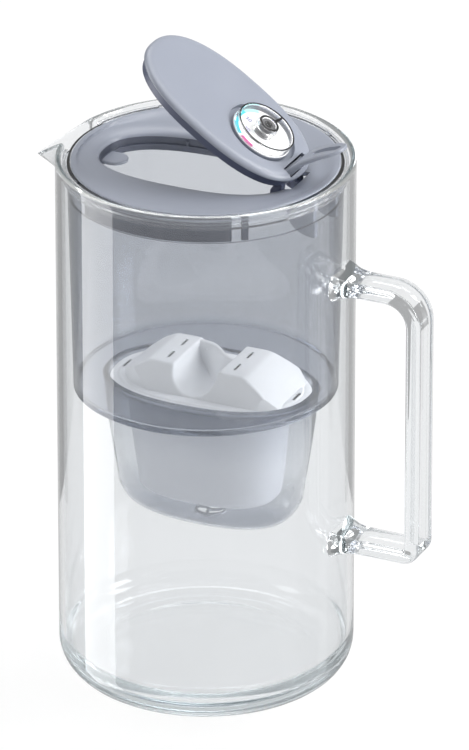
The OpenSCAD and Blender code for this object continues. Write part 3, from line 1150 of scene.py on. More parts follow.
FINISHES |= {
    Extra.NUMBERS: SatinPlastic(
        "number_ink", (0.04, 0.04, 0.3), (0.06, 0.05, 0.34), 0.4, 0.5
    ),
    Extra.GRILLE: SatinPlastic(
        "grille_grey", (0.36, 0.38, 0.42), (0.33, 0.35, 0.39)
    ),
    # Darker than the ring's slate: painted shade on the skirts under the ring.
    Extra.SHADED_SKIRT: SatinPlastic(
        "skirt_slate", (0.045, 0.053, 0.085), (0.042, 0.05, 0.08)
    ),
    # Darker slate for the mouth's wall: painted shade inside the mouth.
    Extra.WALL: SatinPlastic("wall_slate", (0.075, 0.085, 0.12), (0.07, 0.08, 0.11)),
    # The liner's own dark slate, darkened further as painted shade under the lid's
    # edge.
    Extra.LINER: SatinPlastic(
        "liner_slate", (0.075, 0.088, 0.145), (0.07, 0.082, 0.135), 0.3, 0.4
    ),
    # The case's white is painted grey, as the shade it stands in inside the hopper.
    Extra.CASE: SatinPlastic("case_white", (0.42, 0.44, 0.49), (0.4, 0.42, 0.47)),
    Extra.CORE: SatinPlastic(
        "grip_core", (0.07, 0.07, 0.075), (0.2, 0.2, 0.21), 0.12, 0.25
    ),
    Extra.SHADOW: SatinPlastic(
        "slot_shadow", (0.012, 0.012, 0.014), (0.02, 0.02, 0.024), 0.5, 0.6
    ),
}


class FinishShelf:
    """Makes each finish once, when it is first asked for."""

    def __init__(self) -> None:
        """Starts with an empty shelf."""
        self.made: dict[Slot | Extra, bpy.types.Material] = {}

    def take(self, finish: Slot | Extra) -> bpy.types.Material:
        """Gives the material of a slot or of an extra finish.

        Args:
            finish: The slot or the extra finish.

        Returns:
            Its material.
        """
        if finish not in self.made:
            self.made[finish] = FINISHES[finish].make()
        return self.made[finish]


SHELF = FinishShelf()


@dataclass
class SubAssembly:
    """A group of pieces that move together."""

    body: Body
    pieces: list[Piece] = field(default_factory=list, init=False)

    def fit(
        self,
        piece: Piece,
        slot: Slot,
        nodes: Sequence[str] = (),
        extra: Extra | None = None,
    ) -> Piece:
        """Dresses a finished piece and puts it on its body.

        Args:
            piece: The piece.
            slot: The material slot that it takes its finish from.
            nodes: The CAD nodes that it stands for.
            extra: A finish of its own, in place of the slot's.

        Returns:
            The same piece.
        """
        piece.data.materials.clear()
        piece.data.materials.append(SHELF.take(extra or slot))
        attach(piece, self.body.value)
        if nodes:
            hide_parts(*nodes)
        self.pieces.append(piece)
        LOG.info("%s on %s", piece.name, self.body.value)
        return piece

    def dress_node(self, node: str, slot: Slot) -> None:
        """Gives a CAD node that stays its material.

        Args:
            node: Name of the CAD node.
            slot: Its material slot.
        """
        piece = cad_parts[node]
        piece.data.materials.clear()
        piece.data.materials.append(SHELF.take(slot))
        LOG.info("%s keeps its solid", node)


# ---- glass ----


@dataclass
class GlassJug(SubAssembly):
    """The glass body with its beak and the handle fused to it."""

    body: Body = Body.JUG
    radius: float = 68.0
    height: float = 256.2
    wall: float = 2.8
    base: float = 10.0
    foot_round: float = 16.5
    inner_round: float = 12.0
    beak_low: float = 232.0
    beak_reach: float = 17.0
    beak_drop: float = 14.4
    beak_angle: float = 13.2
    beak_row: float = 1.4
    beak_ridge: float = 0.07
    beak_side_ease: float = 0.05
    beak_low_ease: float = 0.04
    wall_rows: tuple[float, ...] = (30.0, 60, 90, 120, 150, 180, 205, 222, 230)
    foot: Rows = (
        (0, 1.5, 0), (30, 1.4, 0), (44, 0.7, 0), (48.5, 0.1, 0), (51.5, 0, 0),
    )
    handle_x: float = 106.2
    handle_top: float = 207.3
    handle_low: float = 79.0
    handle_half_width: float = 9.0
    handle_half_thick: float = 3.6
    bar_round: float = 2.2
    top_bend: float = 14.0
    low_bend: float = 4.6
    pad_flare: Rows = (
        (65.9, 3.7, 2.9, 2.4), (67.4, 3.7, 2.9, 2.4), (69.2, 2.9, 2.2, 1.6),
        (71.2, 1.8, 1.3, 0.9), (73.6, 0.8, 0.6, 0.4), (76.6, 0.2, 0.15, 0.1),
        (80.0, 0.0, 0.0, 0.0),
    )

    def build(self) -> None:
        """Builds the glass and fuses its handle."""
        glass = self.turn_body()
        self.pull_beak(glass)
        combine(glass, self.draw_handle(), Cut.ADD)
        self.fit(finish_piece(glass, 28), Slot.GLASS, GLASS_NODES)

    def turn_body(self) -> Piece:
        """Turns the body, with finer steps where the beak is pulled.

        Returns:
            The body, still round at the rim.
        """
        inner = self.radius - self.wall
        rim = self.height - self.wall / 2
        rows = list(self.wall_rows)
        z = self.beak_low
        while z < rim - self.beak_row / 2:
            rows.append(z)
            z += self.beak_row
        half, low_round, inner_round = self.wall / 2, self.foot_round, self.inner_round
        heel = arc_points((self.radius - low_round, low_round), low_round, -90, 0, 12)
        profile: Profile = [
            *round_corners(self.foot),
            *heel[1:],
            *[(self.radius, z) for z in rows],
            *arc_points((self.radius - half, rim), half, 0, 180, 8),
            *[(inner, z) for z in reversed(rows)],
            *arc_points(
                (inner - inner_round, self.base + inner_round), inner_round, 0, -90, 10
            ),
            (26, self.base),
            (0, self.base),
        ]
        plain_side = Arc(160, 60)
        beak_side = Arc(40, 60)
        return turn_profile("glass_jug", profile, (plain_side, beak_side, plain_side))

    def pull_beak(self, glass: Piece) -> None:
        """Pulls the rim out to a beak, with the wall's thickness kept.

        Args:
            glass: The turned body.
        """
        for vertex in glass.data.vertices:
            x, y, z = vertex.co
            off = abs(math.degrees(math.atan2(y, -x))) / self.beak_angle
            if z < self.beak_low or off >= 1:
                continue
            rise = (z - self.beak_low) / (self.height - self.beak_low)
            soft = self.beak_ridge
            ridge = 1 - (math.hypot(off, soft) - soft) / (math.hypot(1, soft) - soft)
            share = ease(ridge, self.beak_side_ease)
            rise = ease(rise, self.beak_low_ease)
            vertex.co.x -= self.beak_reach * share * rise
            vertex.co.z -= self.beak_drop * share * rise

    def draw_handle(self) -> Piece:
        """Draws the handle as one bar from pad to pad.

        Returns:
            The handle, its pads sunk into the wall.
        """
        rings = [
            self.bar_ring(x, self.handle_top, 0, grow) for x, *grow in self.pad_flare
        ]
        top, low = self.handle_top, self.handle_low
        bends = ((self.top_bend, top, 0, -1), (self.low_bend, low, 90, 1))
        for radius, level, start, way in bends:
            centre_x, centre_z = self.handle_x - radius, level + way * radius
            for step in range(13):
                turn = start + 90 * step / 12
                c, s = math.cos(math.radians(turn)), math.sin(math.radians(turn))
                x, z = centre_x + radius * s, centre_z + radius * c
                rings.append(self.bar_ring(x, z, turn))
        rings += [
            self.bar_ring(x, self.handle_low, 180, grow)
            for x, *grow in reversed(self.pad_flare)
        ]
        return draw_skin("handle", rings, Ends.CAPPED)

    def bar_ring(
        self, x: float, z: float, turn: float, grow: Sequence[float] = (0, 0, 0)
    ) -> Ring:
        """Gives a ring of the handle's bar.

        Args:
            x: Distance of its middle from the jug's axis.
            z: Height of its middle.
            turn: How far it is turned about Y, in degrees.
            grow: What is added to its half width, half thickness and corner radius.

        Returns:
            The points of the ring.
        """
        lean = math.radians(turn)
        return rounded_box_ring(
            Vector((x, 0, z)),
            Vector((0, 1, 0)),
            Vector((math.sin(lean), 0, math.cos(lean))),
            self.handle_half_width + grow[0],
            self.handle_half_thick + grow[1],
            self.bar_round + grow[2],
        )


# ---- hopper ----


@dataclass
class FilterHopper(SubAssembly):
    """The tinted hopper with its hanging cup, the grille and the seal."""

    body: Body = Body.HOPPER
    floor: float = 145.0
    floor_top: float = 147.0
    low: float = 60.5
    high: float = 62.6
    flange: float = 63.3
    flange_low: float = 251.6
    flange_top: float = 254.2
    ledge: float = 241.2
    cup: Oval = Oval(51.0, 33.4, 2.3, 2.2)
    seat: Oval = Oval(48.1, 31.6, 2.3, 2.2)
    cup_low: float = 78.0
    cup_wall: float = 1.0
    cup_round: float = 18.0
    cup_steps: Rows = ((96.0, 6.2), (104.0, 5.0), (118.0, 2.9), (132.0, 1.2))
    cup_ledge: float = 142.2
    cup_neck: float = 136.0
    neck_inset: float = 4.6
    heel: Rows = ((-0.9, 0.0), (-0.25, 0.3), (0.0, 0.9))
    bore: float = 61.3
    bore_low: float = 60.2
    floor_curve: Rows = ((58.95, 2.0), (58.6, 0.9), (57.9, 0.25), (56.9, 0.0))
    tab: Block = ((61.7, -2.5, 253.9), (63.0, 2.5, 254.7))
    outlet: Oval = Oval(7.3, 7.3, 2.0, 2.2)
    grille_rim: Rows = ((7.25, 0.0), (7.25, 1.7), (6.2, 1.7), (6.2, 0.0))
    spokes: tuple[int, ...] = (20, 140, 260)
    spoke_bend: float = 34.0
    spoke_reach: float = 6.7
    seal: Rows = (
        (63.32, 249.6), (64.0, 248.7), (64.15, 249.2), (64.15, 250.5), (64.8, 251.1),
        (64.75, 251.3), (64.15, 251.8), (64.15, 252.6), (64.8, 253.2), (64.7, 254.2),
        (64.45, 254.4), (63.32, 254.4), (63.32, 249.6),
    )
    gap: float = 15.0
    tab_angles: tuple[float, ...] = (52.0, 133.0, 227.0, 308.0)

    def build(self) -> None:
        """Builds the hopper, the grille and the seal."""
        self.fit(self.draw_hopper(), Slot.HOPPER, ["hopper", "hopper_cup"])
        self.fit(self.draw_grille(), Slot.WHITE, ["outlet_grille"], Extra.GRILLE)
        self.fit(self.turn_seal(), Slot.SEAL, ["seal_ring"])

    def flange_ring(self, radius: float, z: float) -> Ring:
        """Gives a ring of the flange, drawn in where the water pours out.

        Args:
            radius: Radius of the ring.
            z: Its height.

        Returns:
            The points of the ring.
        """
        ring = circle(radius).ring(0, z)
        limit = self.high - 0.2
        for point in ring:
            off = abs(math.degrees(math.atan2(point.y, -point.x)))
            if off < self.gap and radius > limit:
                point.xy = point.xy.normalized() * limit
        return ring

    def draw_hopper(self) -> Piece:
        """Draws the whole moulding as one closed skin.

        Returns:
            The moulding, finished.
        """
        cup, wall = self.cup, self.cup_wall
        rings = [
            self.outlet.ring(0, self.cup_low),
            *self.cup_foot(0),
            *[cup.ring(-inset, z) for z, inset in self.cup_steps],
            cup.ring(0, self.floor),
            *[circle(self.low).ring(grow, self.floor + up) for grow, up in self.heel],
            circle(self.high).ring(0, self.flange_low - 3),
            circle(self.high).ring(0, self.flange_low),
            self.flange_ring(self.flange, self.flange_low),
            self.flange_ring(self.flange, self.flange_top),
            circle(self.bore).ring(0, self.flange_top),
            circle(self.bore).ring(0, self.ledge),
            circle(self.bore_low).ring(0, self.ledge),
            *[circle(r).ring(0, self.floor_top + up) for r, up in self.floor_curve],
            self.seat.ring(0, self.floor_top),
            self.seat.ring(0, self.cup_ledge),
            cup.ring(-self.neck_inset, self.cup_ledge),
            cup.ring(-self.neck_inset, self.cup_neck),
            *[cup.ring(-inset - wall, z - 0.8) for z, inset in self.cup_steps[-2::-1]],
            *reversed(self.cup_foot(wall)),
            self.outlet.ring(0, self.cup_low + wall),
        ]
        hopper = draw_skin("hopper_shell", rings, Ends.JOINED)
        for angle in self.tab_angles:
            tab = cast_block("tab", *self.tab)
            tab.data.transform(Matrix.Rotation(math.radians(angle), 4, "Z"))
            combine(hopper, tab, Cut.ADD)
        soften_edges(hopper, 0.3, 2, 50)
        return finish_piece(hopper)

    def cup_foot(self, wall: float) -> list[Ring]:
        """Gives the rings of the cup's round foot.

        Args:
            wall: How far they lie inside the cup's outer skin.

        Returns:
            The rings, from the bottom up.
        """
        deep, bend = self.cup_steps[0][1] + wall, self.cup_round - wall
        rings = []
        for turn in (84, 72, 60, 48, 36, 24, 12):
            c, s = math.cos(math.radians(turn)), math.sin(math.radians(turn))
            z = self.cup_low + wall + bend * (1 - s)
            rings.append(self.cup.ring(-deep - bend * (1 - c), z))
        return rings

    def draw_grille(self) -> Piece:
        """Draws the outlet's rim with three bent spokes.

        Returns:
            The grille, finished.
        """
        z, x = self.cup_low + 0.1, self.outlet.centre_x
        rings = [circle(r, x).ring(0, z + up, 64) for r, up in self.grille_rim]
        grille = draw_skin("outlet_grille", rings, Ends.JOINED)
        for angle in self.spokes:
            rings = []
            for step in range(7):
                share = step / 6
                turn = math.radians(angle + self.spoke_bend * share * share)
                out = Vector((math.cos(turn), math.sin(turn), 0))
                rings.append(
                    rounded_box_ring(
                        Vector((x, 0, z + 0.8)) + out * (self.spoke_reach * share),
                        Vector((-out.y, out.x, 0)),
                        Vector((0, 0, 1)),
                        0.75,
                        0.7,
                        0.25,
                        2,
                    )
                )
            combine(grille, draw_skin("spoke", rings, Ends.CAPPED), Cut.ADD)
        soften_edges(grille, 0.15, 2, 50)
        return finish_piece(grille)

    def turn_seal(self) -> Piece:
        """Turns the two-lipped seal, open where the water pours out.

        Returns:
            The seal, finished.
        """
        arcs = (Arc(360 - 2 * self.gap, 132),)
        return finish_piece(
            turn_profile("seal_ring", self.seal, arcs, start=180 + self.gap)
        )


# ---- cartridge ----


@dataclass
class OvalCartridge(SubAssembly):
    """The oval cartridge: case, cap with its humps, meshes and media."""

    body: Body = Body.CARTRIDGE
    centre_x: float = 2.2
    low: float = 91.5
    flange_z: float = 142.5
    flange: Oval = Oval(47.5, 31.0, 2.3, 2.2)
    case: Oval = Oval(37.5, 26.0, 2.4, 2.2)
    taper: float = 4.0
    case_wall: float = 1.4
    case_outside: Rows = ((-3, 0.0), (-1.2, 0.45), (-0.3, 1.5), (0, 3.2))
    case_inside: Rows = ((-1.4, 3.4), (-3.4, 1.4))
    hump_top: float = 158.5
    hump_oval: Oval = Oval(44.5, 24.8, 2.3, 6.0)
    flange_rows: Rows = (
        (-0.8, 0.0), (-0.2, 0.3), (0, 0.9), (0, 1.9), (-0.3, 2.4), (-0.9, 2.6),
        (-3.2, 2.6), (-3.6, 2.7), (-4.1, 3.2), (-4.8, 3.35),
    )
    shoulder: Rows = (
        (22.5, 0.0), (25.5, 1.1), (31.0, 4.3), (36.5, 8.2), (40.2, 12.0), (41.3, 15.0),
    )
    top_y: float = 15.8
    foot_y: float = 23.0
    edge_round: float = 1.05
    valley: float = 10.75
    valley_depth: float = 1.3
    valley_wall: float = 1.9
    valley_lean: float = 0.42
    valley_path: Rows = (
        (-9.7, 13.4), (-5.3, 13.1), (-1.6, 12.1), (1.2, 10.3), (4.2, 7.5), (7.4, 4.2),
        (10.0, 1.9), (13.6, 0.0),
    )
    valley_notch: Block = ((-4.7, 10.6, 154.4), (-2.3, 13.1, 155.6))
    slot_x: float = 16.5
    slot_width: float = 1.6
    slot_length: float = 7.2
    slot_low: float = 153.5
    floor_top: float = 157.8
    foot_slot: float = 42.5
    foot_slot_length: float = 8.4
    foot_slot_low: float = 141.0
    foot_floor_top: float = 145.2

    def build(self) -> None:
        """Builds the case and the cap and dresses what is inside."""
        # The case takes its white painted grey as shade.
        self.fit(self.draw_case(), Slot.WHITE, ["cartridge_shell"], Extra.CASE)
        self.fit(self.shape_cap(), Slot.WHITE, ["cartridge_cap"])
        # Near-black floors in the slots are painted shadow.
        self.fit(self.lay_painted_slot_shadow(), Slot.MESH, extra=Extra.SHADOW)
        self.dress_node("upper_mesh", Slot.MESH)
        self.dress_node("lower_mesh", Slot.MESH)
        self.dress_node("filter_media", Slot.CARBON)

    def draw_case(self) -> Piece:
        """Draws the tapered case.

        Returns:
            The case, finished.
        """
        case, t, low = self.case, self.taper, self.low
        rings = [case.ring(grow - t, low + rise) for grow, rise in self.case_outside]
        rings.append(case.ring(0, self.flange_z))
        rings.append(case.ring(-self.case_wall, self.flange_z))
        rings += [case.ring(grow - t, low + rise) for grow, rise in self.case_inside]
        return finish_piece(draw_skin("cartridge_case", rings, Ends.CAPPED))

    def shape_cap(self) -> Piece:
        """Shapes the cap from its flange, the humps and the wall behind the finger.

        Returns:
            The cap, finished.
        """
        z = self.flange_z
        rings = [self.flange.ring(grow, z + rise) for grow, rise in self.flange_rows]
        cap = draw_skin("cartridge_cap", rings, Ends.CAPPED)
        combine(cap, self.shape_humps(), Cut.ADD)
        combine(cap, self.draw_valley_wall(), Cut.ADD)
        for place, length, low in self.slots():
            rings = [
                rounded_box_ring(
                    Vector((place[0], place[1], height)),
                    Vector((1, 0, 0)),
                    Vector((0, 1, 0)),
                    self.slot_width / 2,
                    length / 2,
                    self.slot_width / 2 - 0.01,
                )
                for height in (low, self.hump_top + 2)
            ]
            combine(cap, draw_skin("slot", rings, Ends.CAPPED), Cut.REMOVE)
        combine(cap, cast_block("notch", *self.valley_notch), Cut.REMOVE)
        return finish_piece(cap, 34)

    def lay_painted_slot_shadow(self) -> Piece:
        """Lays near-black floors in the cap's slots: the mesh below, painted as shadow.

        Returns:
            The floors, finished, as one piece.
        """
        floors = None
        for (x, y), length, low in self.slots():
            wide, long = self.slot_width / 2 + 0.3, length / 2 + 0.3
            top = self.floor_top if low == self.slot_low else self.foot_floor_top
            block = cast_block(
                "slot_shadow_floors", (x - wide, y - long, top - 1), (x + wide, y + long, top)
            )
            floors = combine(floors, block, Cut.ADD) if floors else block
        return finish_piece(floors)

    def slots(self) -> list[tuple[tuple[float, float], float, float]]:
        """Gives the place, length and depth of the cap's vent slots.

        Returns:
            Centre, length and lowest height of each slot.
        """
        cuts = [
            ((self.centre_x + side * self.slot_x, y), self.slot_length, self.slot_low)
            for side in (-1, 1)
            for y in (-7.0, 7.0)
        ]
        for side in (-1, 1):
            place = (self.centre_x + side * self.foot_slot, 0.0)
            cuts.append((place, self.foot_slot_length, self.foot_slot_low))
        return cuts

    def hump_outline(self) -> Profile:
        """Gives the side view of both humps with the finger valley between.

        Returns:
            The points of the outline, clockwise.
        """
        x, top = self.centre_x, self.hump_top
        rise = math.asin(self.valley_depth / self.valley)
        right = [(x + along, top - drop, 0.0) for along, drop in self.shoulder]
        left = [(2 * x - along, height, 0.0) for along, height, _ in right]
        valley = []
        for step in range(25):
            turn = math.pi - rise + (math.pi + 2 * rise) * step / 24
            valley.append(
                (
                    x + self.valley * math.cos(turn),
                    top - self.valley_depth + self.valley * math.sin(turn),
                    1.3 if step in (0, 24) else 0.0,
                )
            )
        return round_corners([*reversed(left), *valley, *right])

    def shape_humps(self) -> Piece:
        """Draws both humps with round edges and trims them to their oval.

        Returns:
            Both humps as one piece.
        """
        outline, foot = self.hump_outline(), self.flange_z + 1
        lean = (self.foot_y - self.top_y) / (self.hump_top - foot)
        near = []
        for step in range(6):
            turn = math.radians(90 * step / 5)
            depth = self.edge_round * (1 - math.cos(turn))
            drawn = pull_in(outline, self.edge_round * (1 - math.sin(turn)))
            near.append(
                [
                    Vector((a, depth + lean * (b - foot) - self.foot_y, b))
                    for a, b in drawn
                ]
            )
        far = [[Vector((p.x, -p.y, p.z)) for p in ring] for ring in reversed(near)]
        humps = draw_skin("humps", near + far, Ends.CAPPED)
        oval = draw_skin(
            "outline",
            [
                self.hump_oval.ring(0, foot - 2),
                self.hump_oval.ring(0, self.hump_top + 3),
            ],
            Ends.CAPPED,
        )
        return combine(humps, oval, Cut.KEEP)

    def draw_valley_wall(self) -> Piece:
        """Draws the curved wall that closes the valley behind the finger.

        Returns:
            The new piece.
        """
        path = curve_through([Vector((x, y, 0)) for x, y in self.valley_path], 3)
        low, high = self.flange_z + 2.0, self.hump_top - 0.2
        rings = []
        for index, here in enumerate(path):
            back, on = path[max(index - 1, 0)], path[min(index + 1, len(path) - 1)]
            way = (on - back).normalized()
            side = Vector((-way.y, way.x, 0))
            up = side * self.valley_lean + Vector((0, 0, 1))
            rings.append(
                rounded_box_ring(
                    here + Vector((0, 0, high)) - up * ((high - low) / 2),
                    side,
                    up,
                    self.valley_wall / 2,
                    (high - low) / 2,
                    0.6,
                    3,
                )
            )
        return draw_skin("valley_wall", rings, Ends.CAPPED)


# ---- lid ring ----


@dataclass
class LidRing(SubAssembly):
    """The dished ring with the filling mouth, skirts and hinge cheeks."""

    body: Body = Body.RING
    radius: float = 60.9
    top: float = 254.6
    lip: float = 251.6
    mouth: Oval = Oval(47.0, 26.2, 2.5, -3.4)
    mouth_low: float = 244.0
    skirt_low: float = 241.5
    skirt_top: float = 251.85
    skirt_wall: tuple[float, float] = (58.8, 60.7)
    skirt_run: float = 71
    post_run: float = 3
    pin: float = 1.5
    wall: float = 1.8
    ledge: float = 0.8
    roll: float = 9.0
    dish_edge: float = 58.6
    rim_rows: Rows = ((0, -2.7), (0, -0.5), (-0.15, -0.15), (-0.5, 0), (-2.3, -0.2))
    lip_rows: Rows = (
        (7.6, 1.5), (6.2, 1.4), (4.6, 1.2), (3.2, 0.9), (2.0, 0.55), (1.1, 0.15),
        (0.45, -0.35), (0.1, -0.9),
    )
    under: float = 59.0
    hinge_notch: Block = ((38, -10.3, 243), (47.2, 10.3, 256))
    rib: Block = ((-21.5, 24.6, 246.5), (-20.1, 26.8, 249.2))
    collar_step: float = 247.1
    skirts: tuple[tuple[str, float, float], ...] = (
        ("skirt_far", 54, 46.8),
        ("skirt_near", -125, -49.8),
    )
    tongue_x: float = -45.2
    tongue_back: float = -51.2
    tongue_round: float = 6.0
    tongue_rows: Rows = ((-0.4, 245.2), (0, 245.5), (0, 246.5), (-0.5, 246.9))
    cheek_x: float = 57.7
    cheek_z: float = 245.2
    cheek_radius: float = 12.2
    cheek_reach: tuple[float, float] = (10.5, 13.5)
    cheek_web: float = 5.6
    cheek_end: float = 58.2

    def build(self) -> None:
        """Builds the ring and dresses the hinge pin."""
        ring = self.draw_dish()
        for side in (-1, 1):
            combine(ring, self.shape_cheek(side), Cut.ADD)
        collar = self.draw_collar()
        reach = Vector((0, 20, 0))
        for piece in (ring, collar):
            combine(piece, cast_block("notch", *self.hinge_notch), Cut.REMOVE)
            pin = cast_rod("bore", HINGE - reach, HINGE + reach, self.pin)
            combine(piece, pin, Cut.REMOVE)
            soften_edges(piece, 0.35, 2, 45)
        self.fit(finish_piece(ring), Slot.SLATE, RING_NODES)
        # The mouth's wall takes the darker slate as painted shade.
        self.fit(finish_piece(collar), Slot.SLATE, ["mouth_collar"], Extra.WALL)
        self.fit(finish_piece(self.draw_tongue()), Slot.SLATE)
        for name, skirt_start, post_start in self.skirts:
            skirt = self.turn_skirt(name, skirt_start, self.skirt_run)
            post = self.turn_skirt("post", post_start, self.post_run)
            combine(skirt, post, Cut.ADD)
            soften_edges(skirt, 0.35, 2, 45)
            # The skirts take the darker slate as painted shade.
            self.fit(finish_piece(skirt), Slot.SLATE, [name], Extra.SHADED_SKIRT)
        self.dress_node("hinge_pin", Slot.STEEL)

    def draw_dish(self) -> Piece:
        """Draws the dish and its rolled lip.

        Returns:
            The new piece.
        """
        rim, lip = self.top, self.lip
        outer, mouth = circle(self.radius), self.mouth
        rings = [outer.ring(grow, rim + rise) for grow, rise in self.rim_rows]
        rings += self.dish_slope(
            circle(self.dish_edge).ring(0, rim - 0.2), self.lip_ring(self.roll, 1.5)
        )
        rings += [self.lip_ring(grow, rise) for grow, rise in self.lip_rows]
        rings += [
            mouth.ring(0.02, lip - 1.2),
            mouth.ring(self.wall, lip - 1.2),
            circle(self.under).ring(0, rim - 2.4),
            circle(self.under).ring(0, rim - 2.7),
        ]
        return draw_skin("lid_ring", rings, Ends.JOINED)

    def draw_collar(self) -> Piece:
        """Draws the wall of the mouth with its ledge and a rib.

        Returns:
            The new piece.
        """
        mouth, top, low = self.mouth, self.lip - 1.22, self.mouth_low
        rings = [
            mouth.ring(0, top),
            mouth.ring(0, self.collar_step),
            mouth.ring(-self.ledge, self.collar_step - 0.2),
            mouth.ring(-self.ledge, low),
            mouth.ring(self.wall, low),
            mouth.ring(self.wall, top),
        ]
        collar = draw_skin("mouth_collar", rings, Ends.JOINED)
        return combine(collar, cast_block("rib", *self.rib), Cut.ADD)

    def lip_ring(self, grow: float, rise: float) -> Ring:
        """Gives a ring of the rolled lip, kept clear of the dish's edge.

        Args:
            grow: How far it lies outside the mouth.
            rise: Its height above the lip.

        Returns:
            The points of the ring.
        """
        ring = self.mouth.ring(grow, self.lip + rise)
        most = self.dish_edge - 0.8 - 0.45 * (self.roll - grow)
        for point in ring:
            reach = math.hypot(point.x, point.y)
            if reach > most:
                point.xy = point.xy * (most / reach)
        return ring

    @staticmethod
    def dish_slope(outside: Ring, inside: Ring, steps: int = 7) -> list[Ring]:
        """Gives the rings of the dish, hollow towards the mouth.

        Args:
            outside: The ring that the slope starts from.
            inside: The ring that it runs to.
            steps: Number of rings.

        Returns:
            The rings, from the outside in.
        """
        rings = []
        for step in range(1, steps + 1):
            share = step / steps
            sag = -0.35 * math.sin(math.pi * share)
            rings.append(
                [
                    a.lerp(b, share) + Vector((0, 0, sag))
                    for a, b in zip(outside, inside)
                ]
            )
        return rings

    def turn_skirt(self, name: str, start: float, degrees: float) -> Piece:
        """Turns one stretch of the skirt.

        Args:
            name: Name of the piece.
            start: Angle at which it starts, in degrees.
            degrees: How far it runs.

        Returns:
            The new piece.
        """
        top, low = self.skirt_top, self.skirt_low
        inner, outer = self.skirt_wall
        profile = [(inner, low), (outer, low), (outer, top), (inner, top), (inner, low)]
        steps = max(2, round(degrees / 2.5))
        return turn_profile(name, profile, (Arc(degrees, steps),), start)

    def shape_cheek(self, side: int) -> Piece:
        """Shapes one hinge cheek, a half disc below the dish.

        Args:
            side: 1 for the far cheek, -1 for the near one.

        Returns:
            The new piece.
        """
        y = sorted(side * reach for reach in self.cheek_reach)
        low, high = Vector((self.cheek_x, y[0], 0)), Vector((self.cheek_x, y[1], 0))
        rise = Vector((0, 0, self.cheek_z))
        cheek = cast_rod("cheek", low + rise, high + rise, self.cheek_radius, 72)
        slice_off(cheek, (0, 0, self.cheek_z), (0, 0, 1))
        web = cast_block(
            "web",
            (self.cheek_x - self.cheek_radius, y[0], self.cheek_z - 0.05),
            (self.cheek_x + self.cheek_radius, y[1], self.cheek_z + self.cheek_web),
        )
        combine(cheek, web, Cut.ADD)
        slice_off(cheek, (self.cheek_end, 0, 0), (1, 0, 0))
        return cheek

    def draw_tongue(self) -> Piece:
        """Draws the round tongue at the front of the mouth.

        Returns:
            The new piece.
        """
        middle, back, bend = self.tongue_x, self.tongue_back, self.tongue_round
        outline = arc_points((middle, 0), bend, -90, 90, 24)
        outline += [(back, bend), (back, -bend)]
        rings = []
        for grow, z in self.tongue_rows:
            scale = 1 + grow / bend
            rings.append(
                [
                    Vector((middle + (x - middle) * scale, y * scale, z))
                    for x, y in outline
                ]
            )
        return draw_skin("tongue", rings, Ends.CAPPED)


# ---- flip lid ----


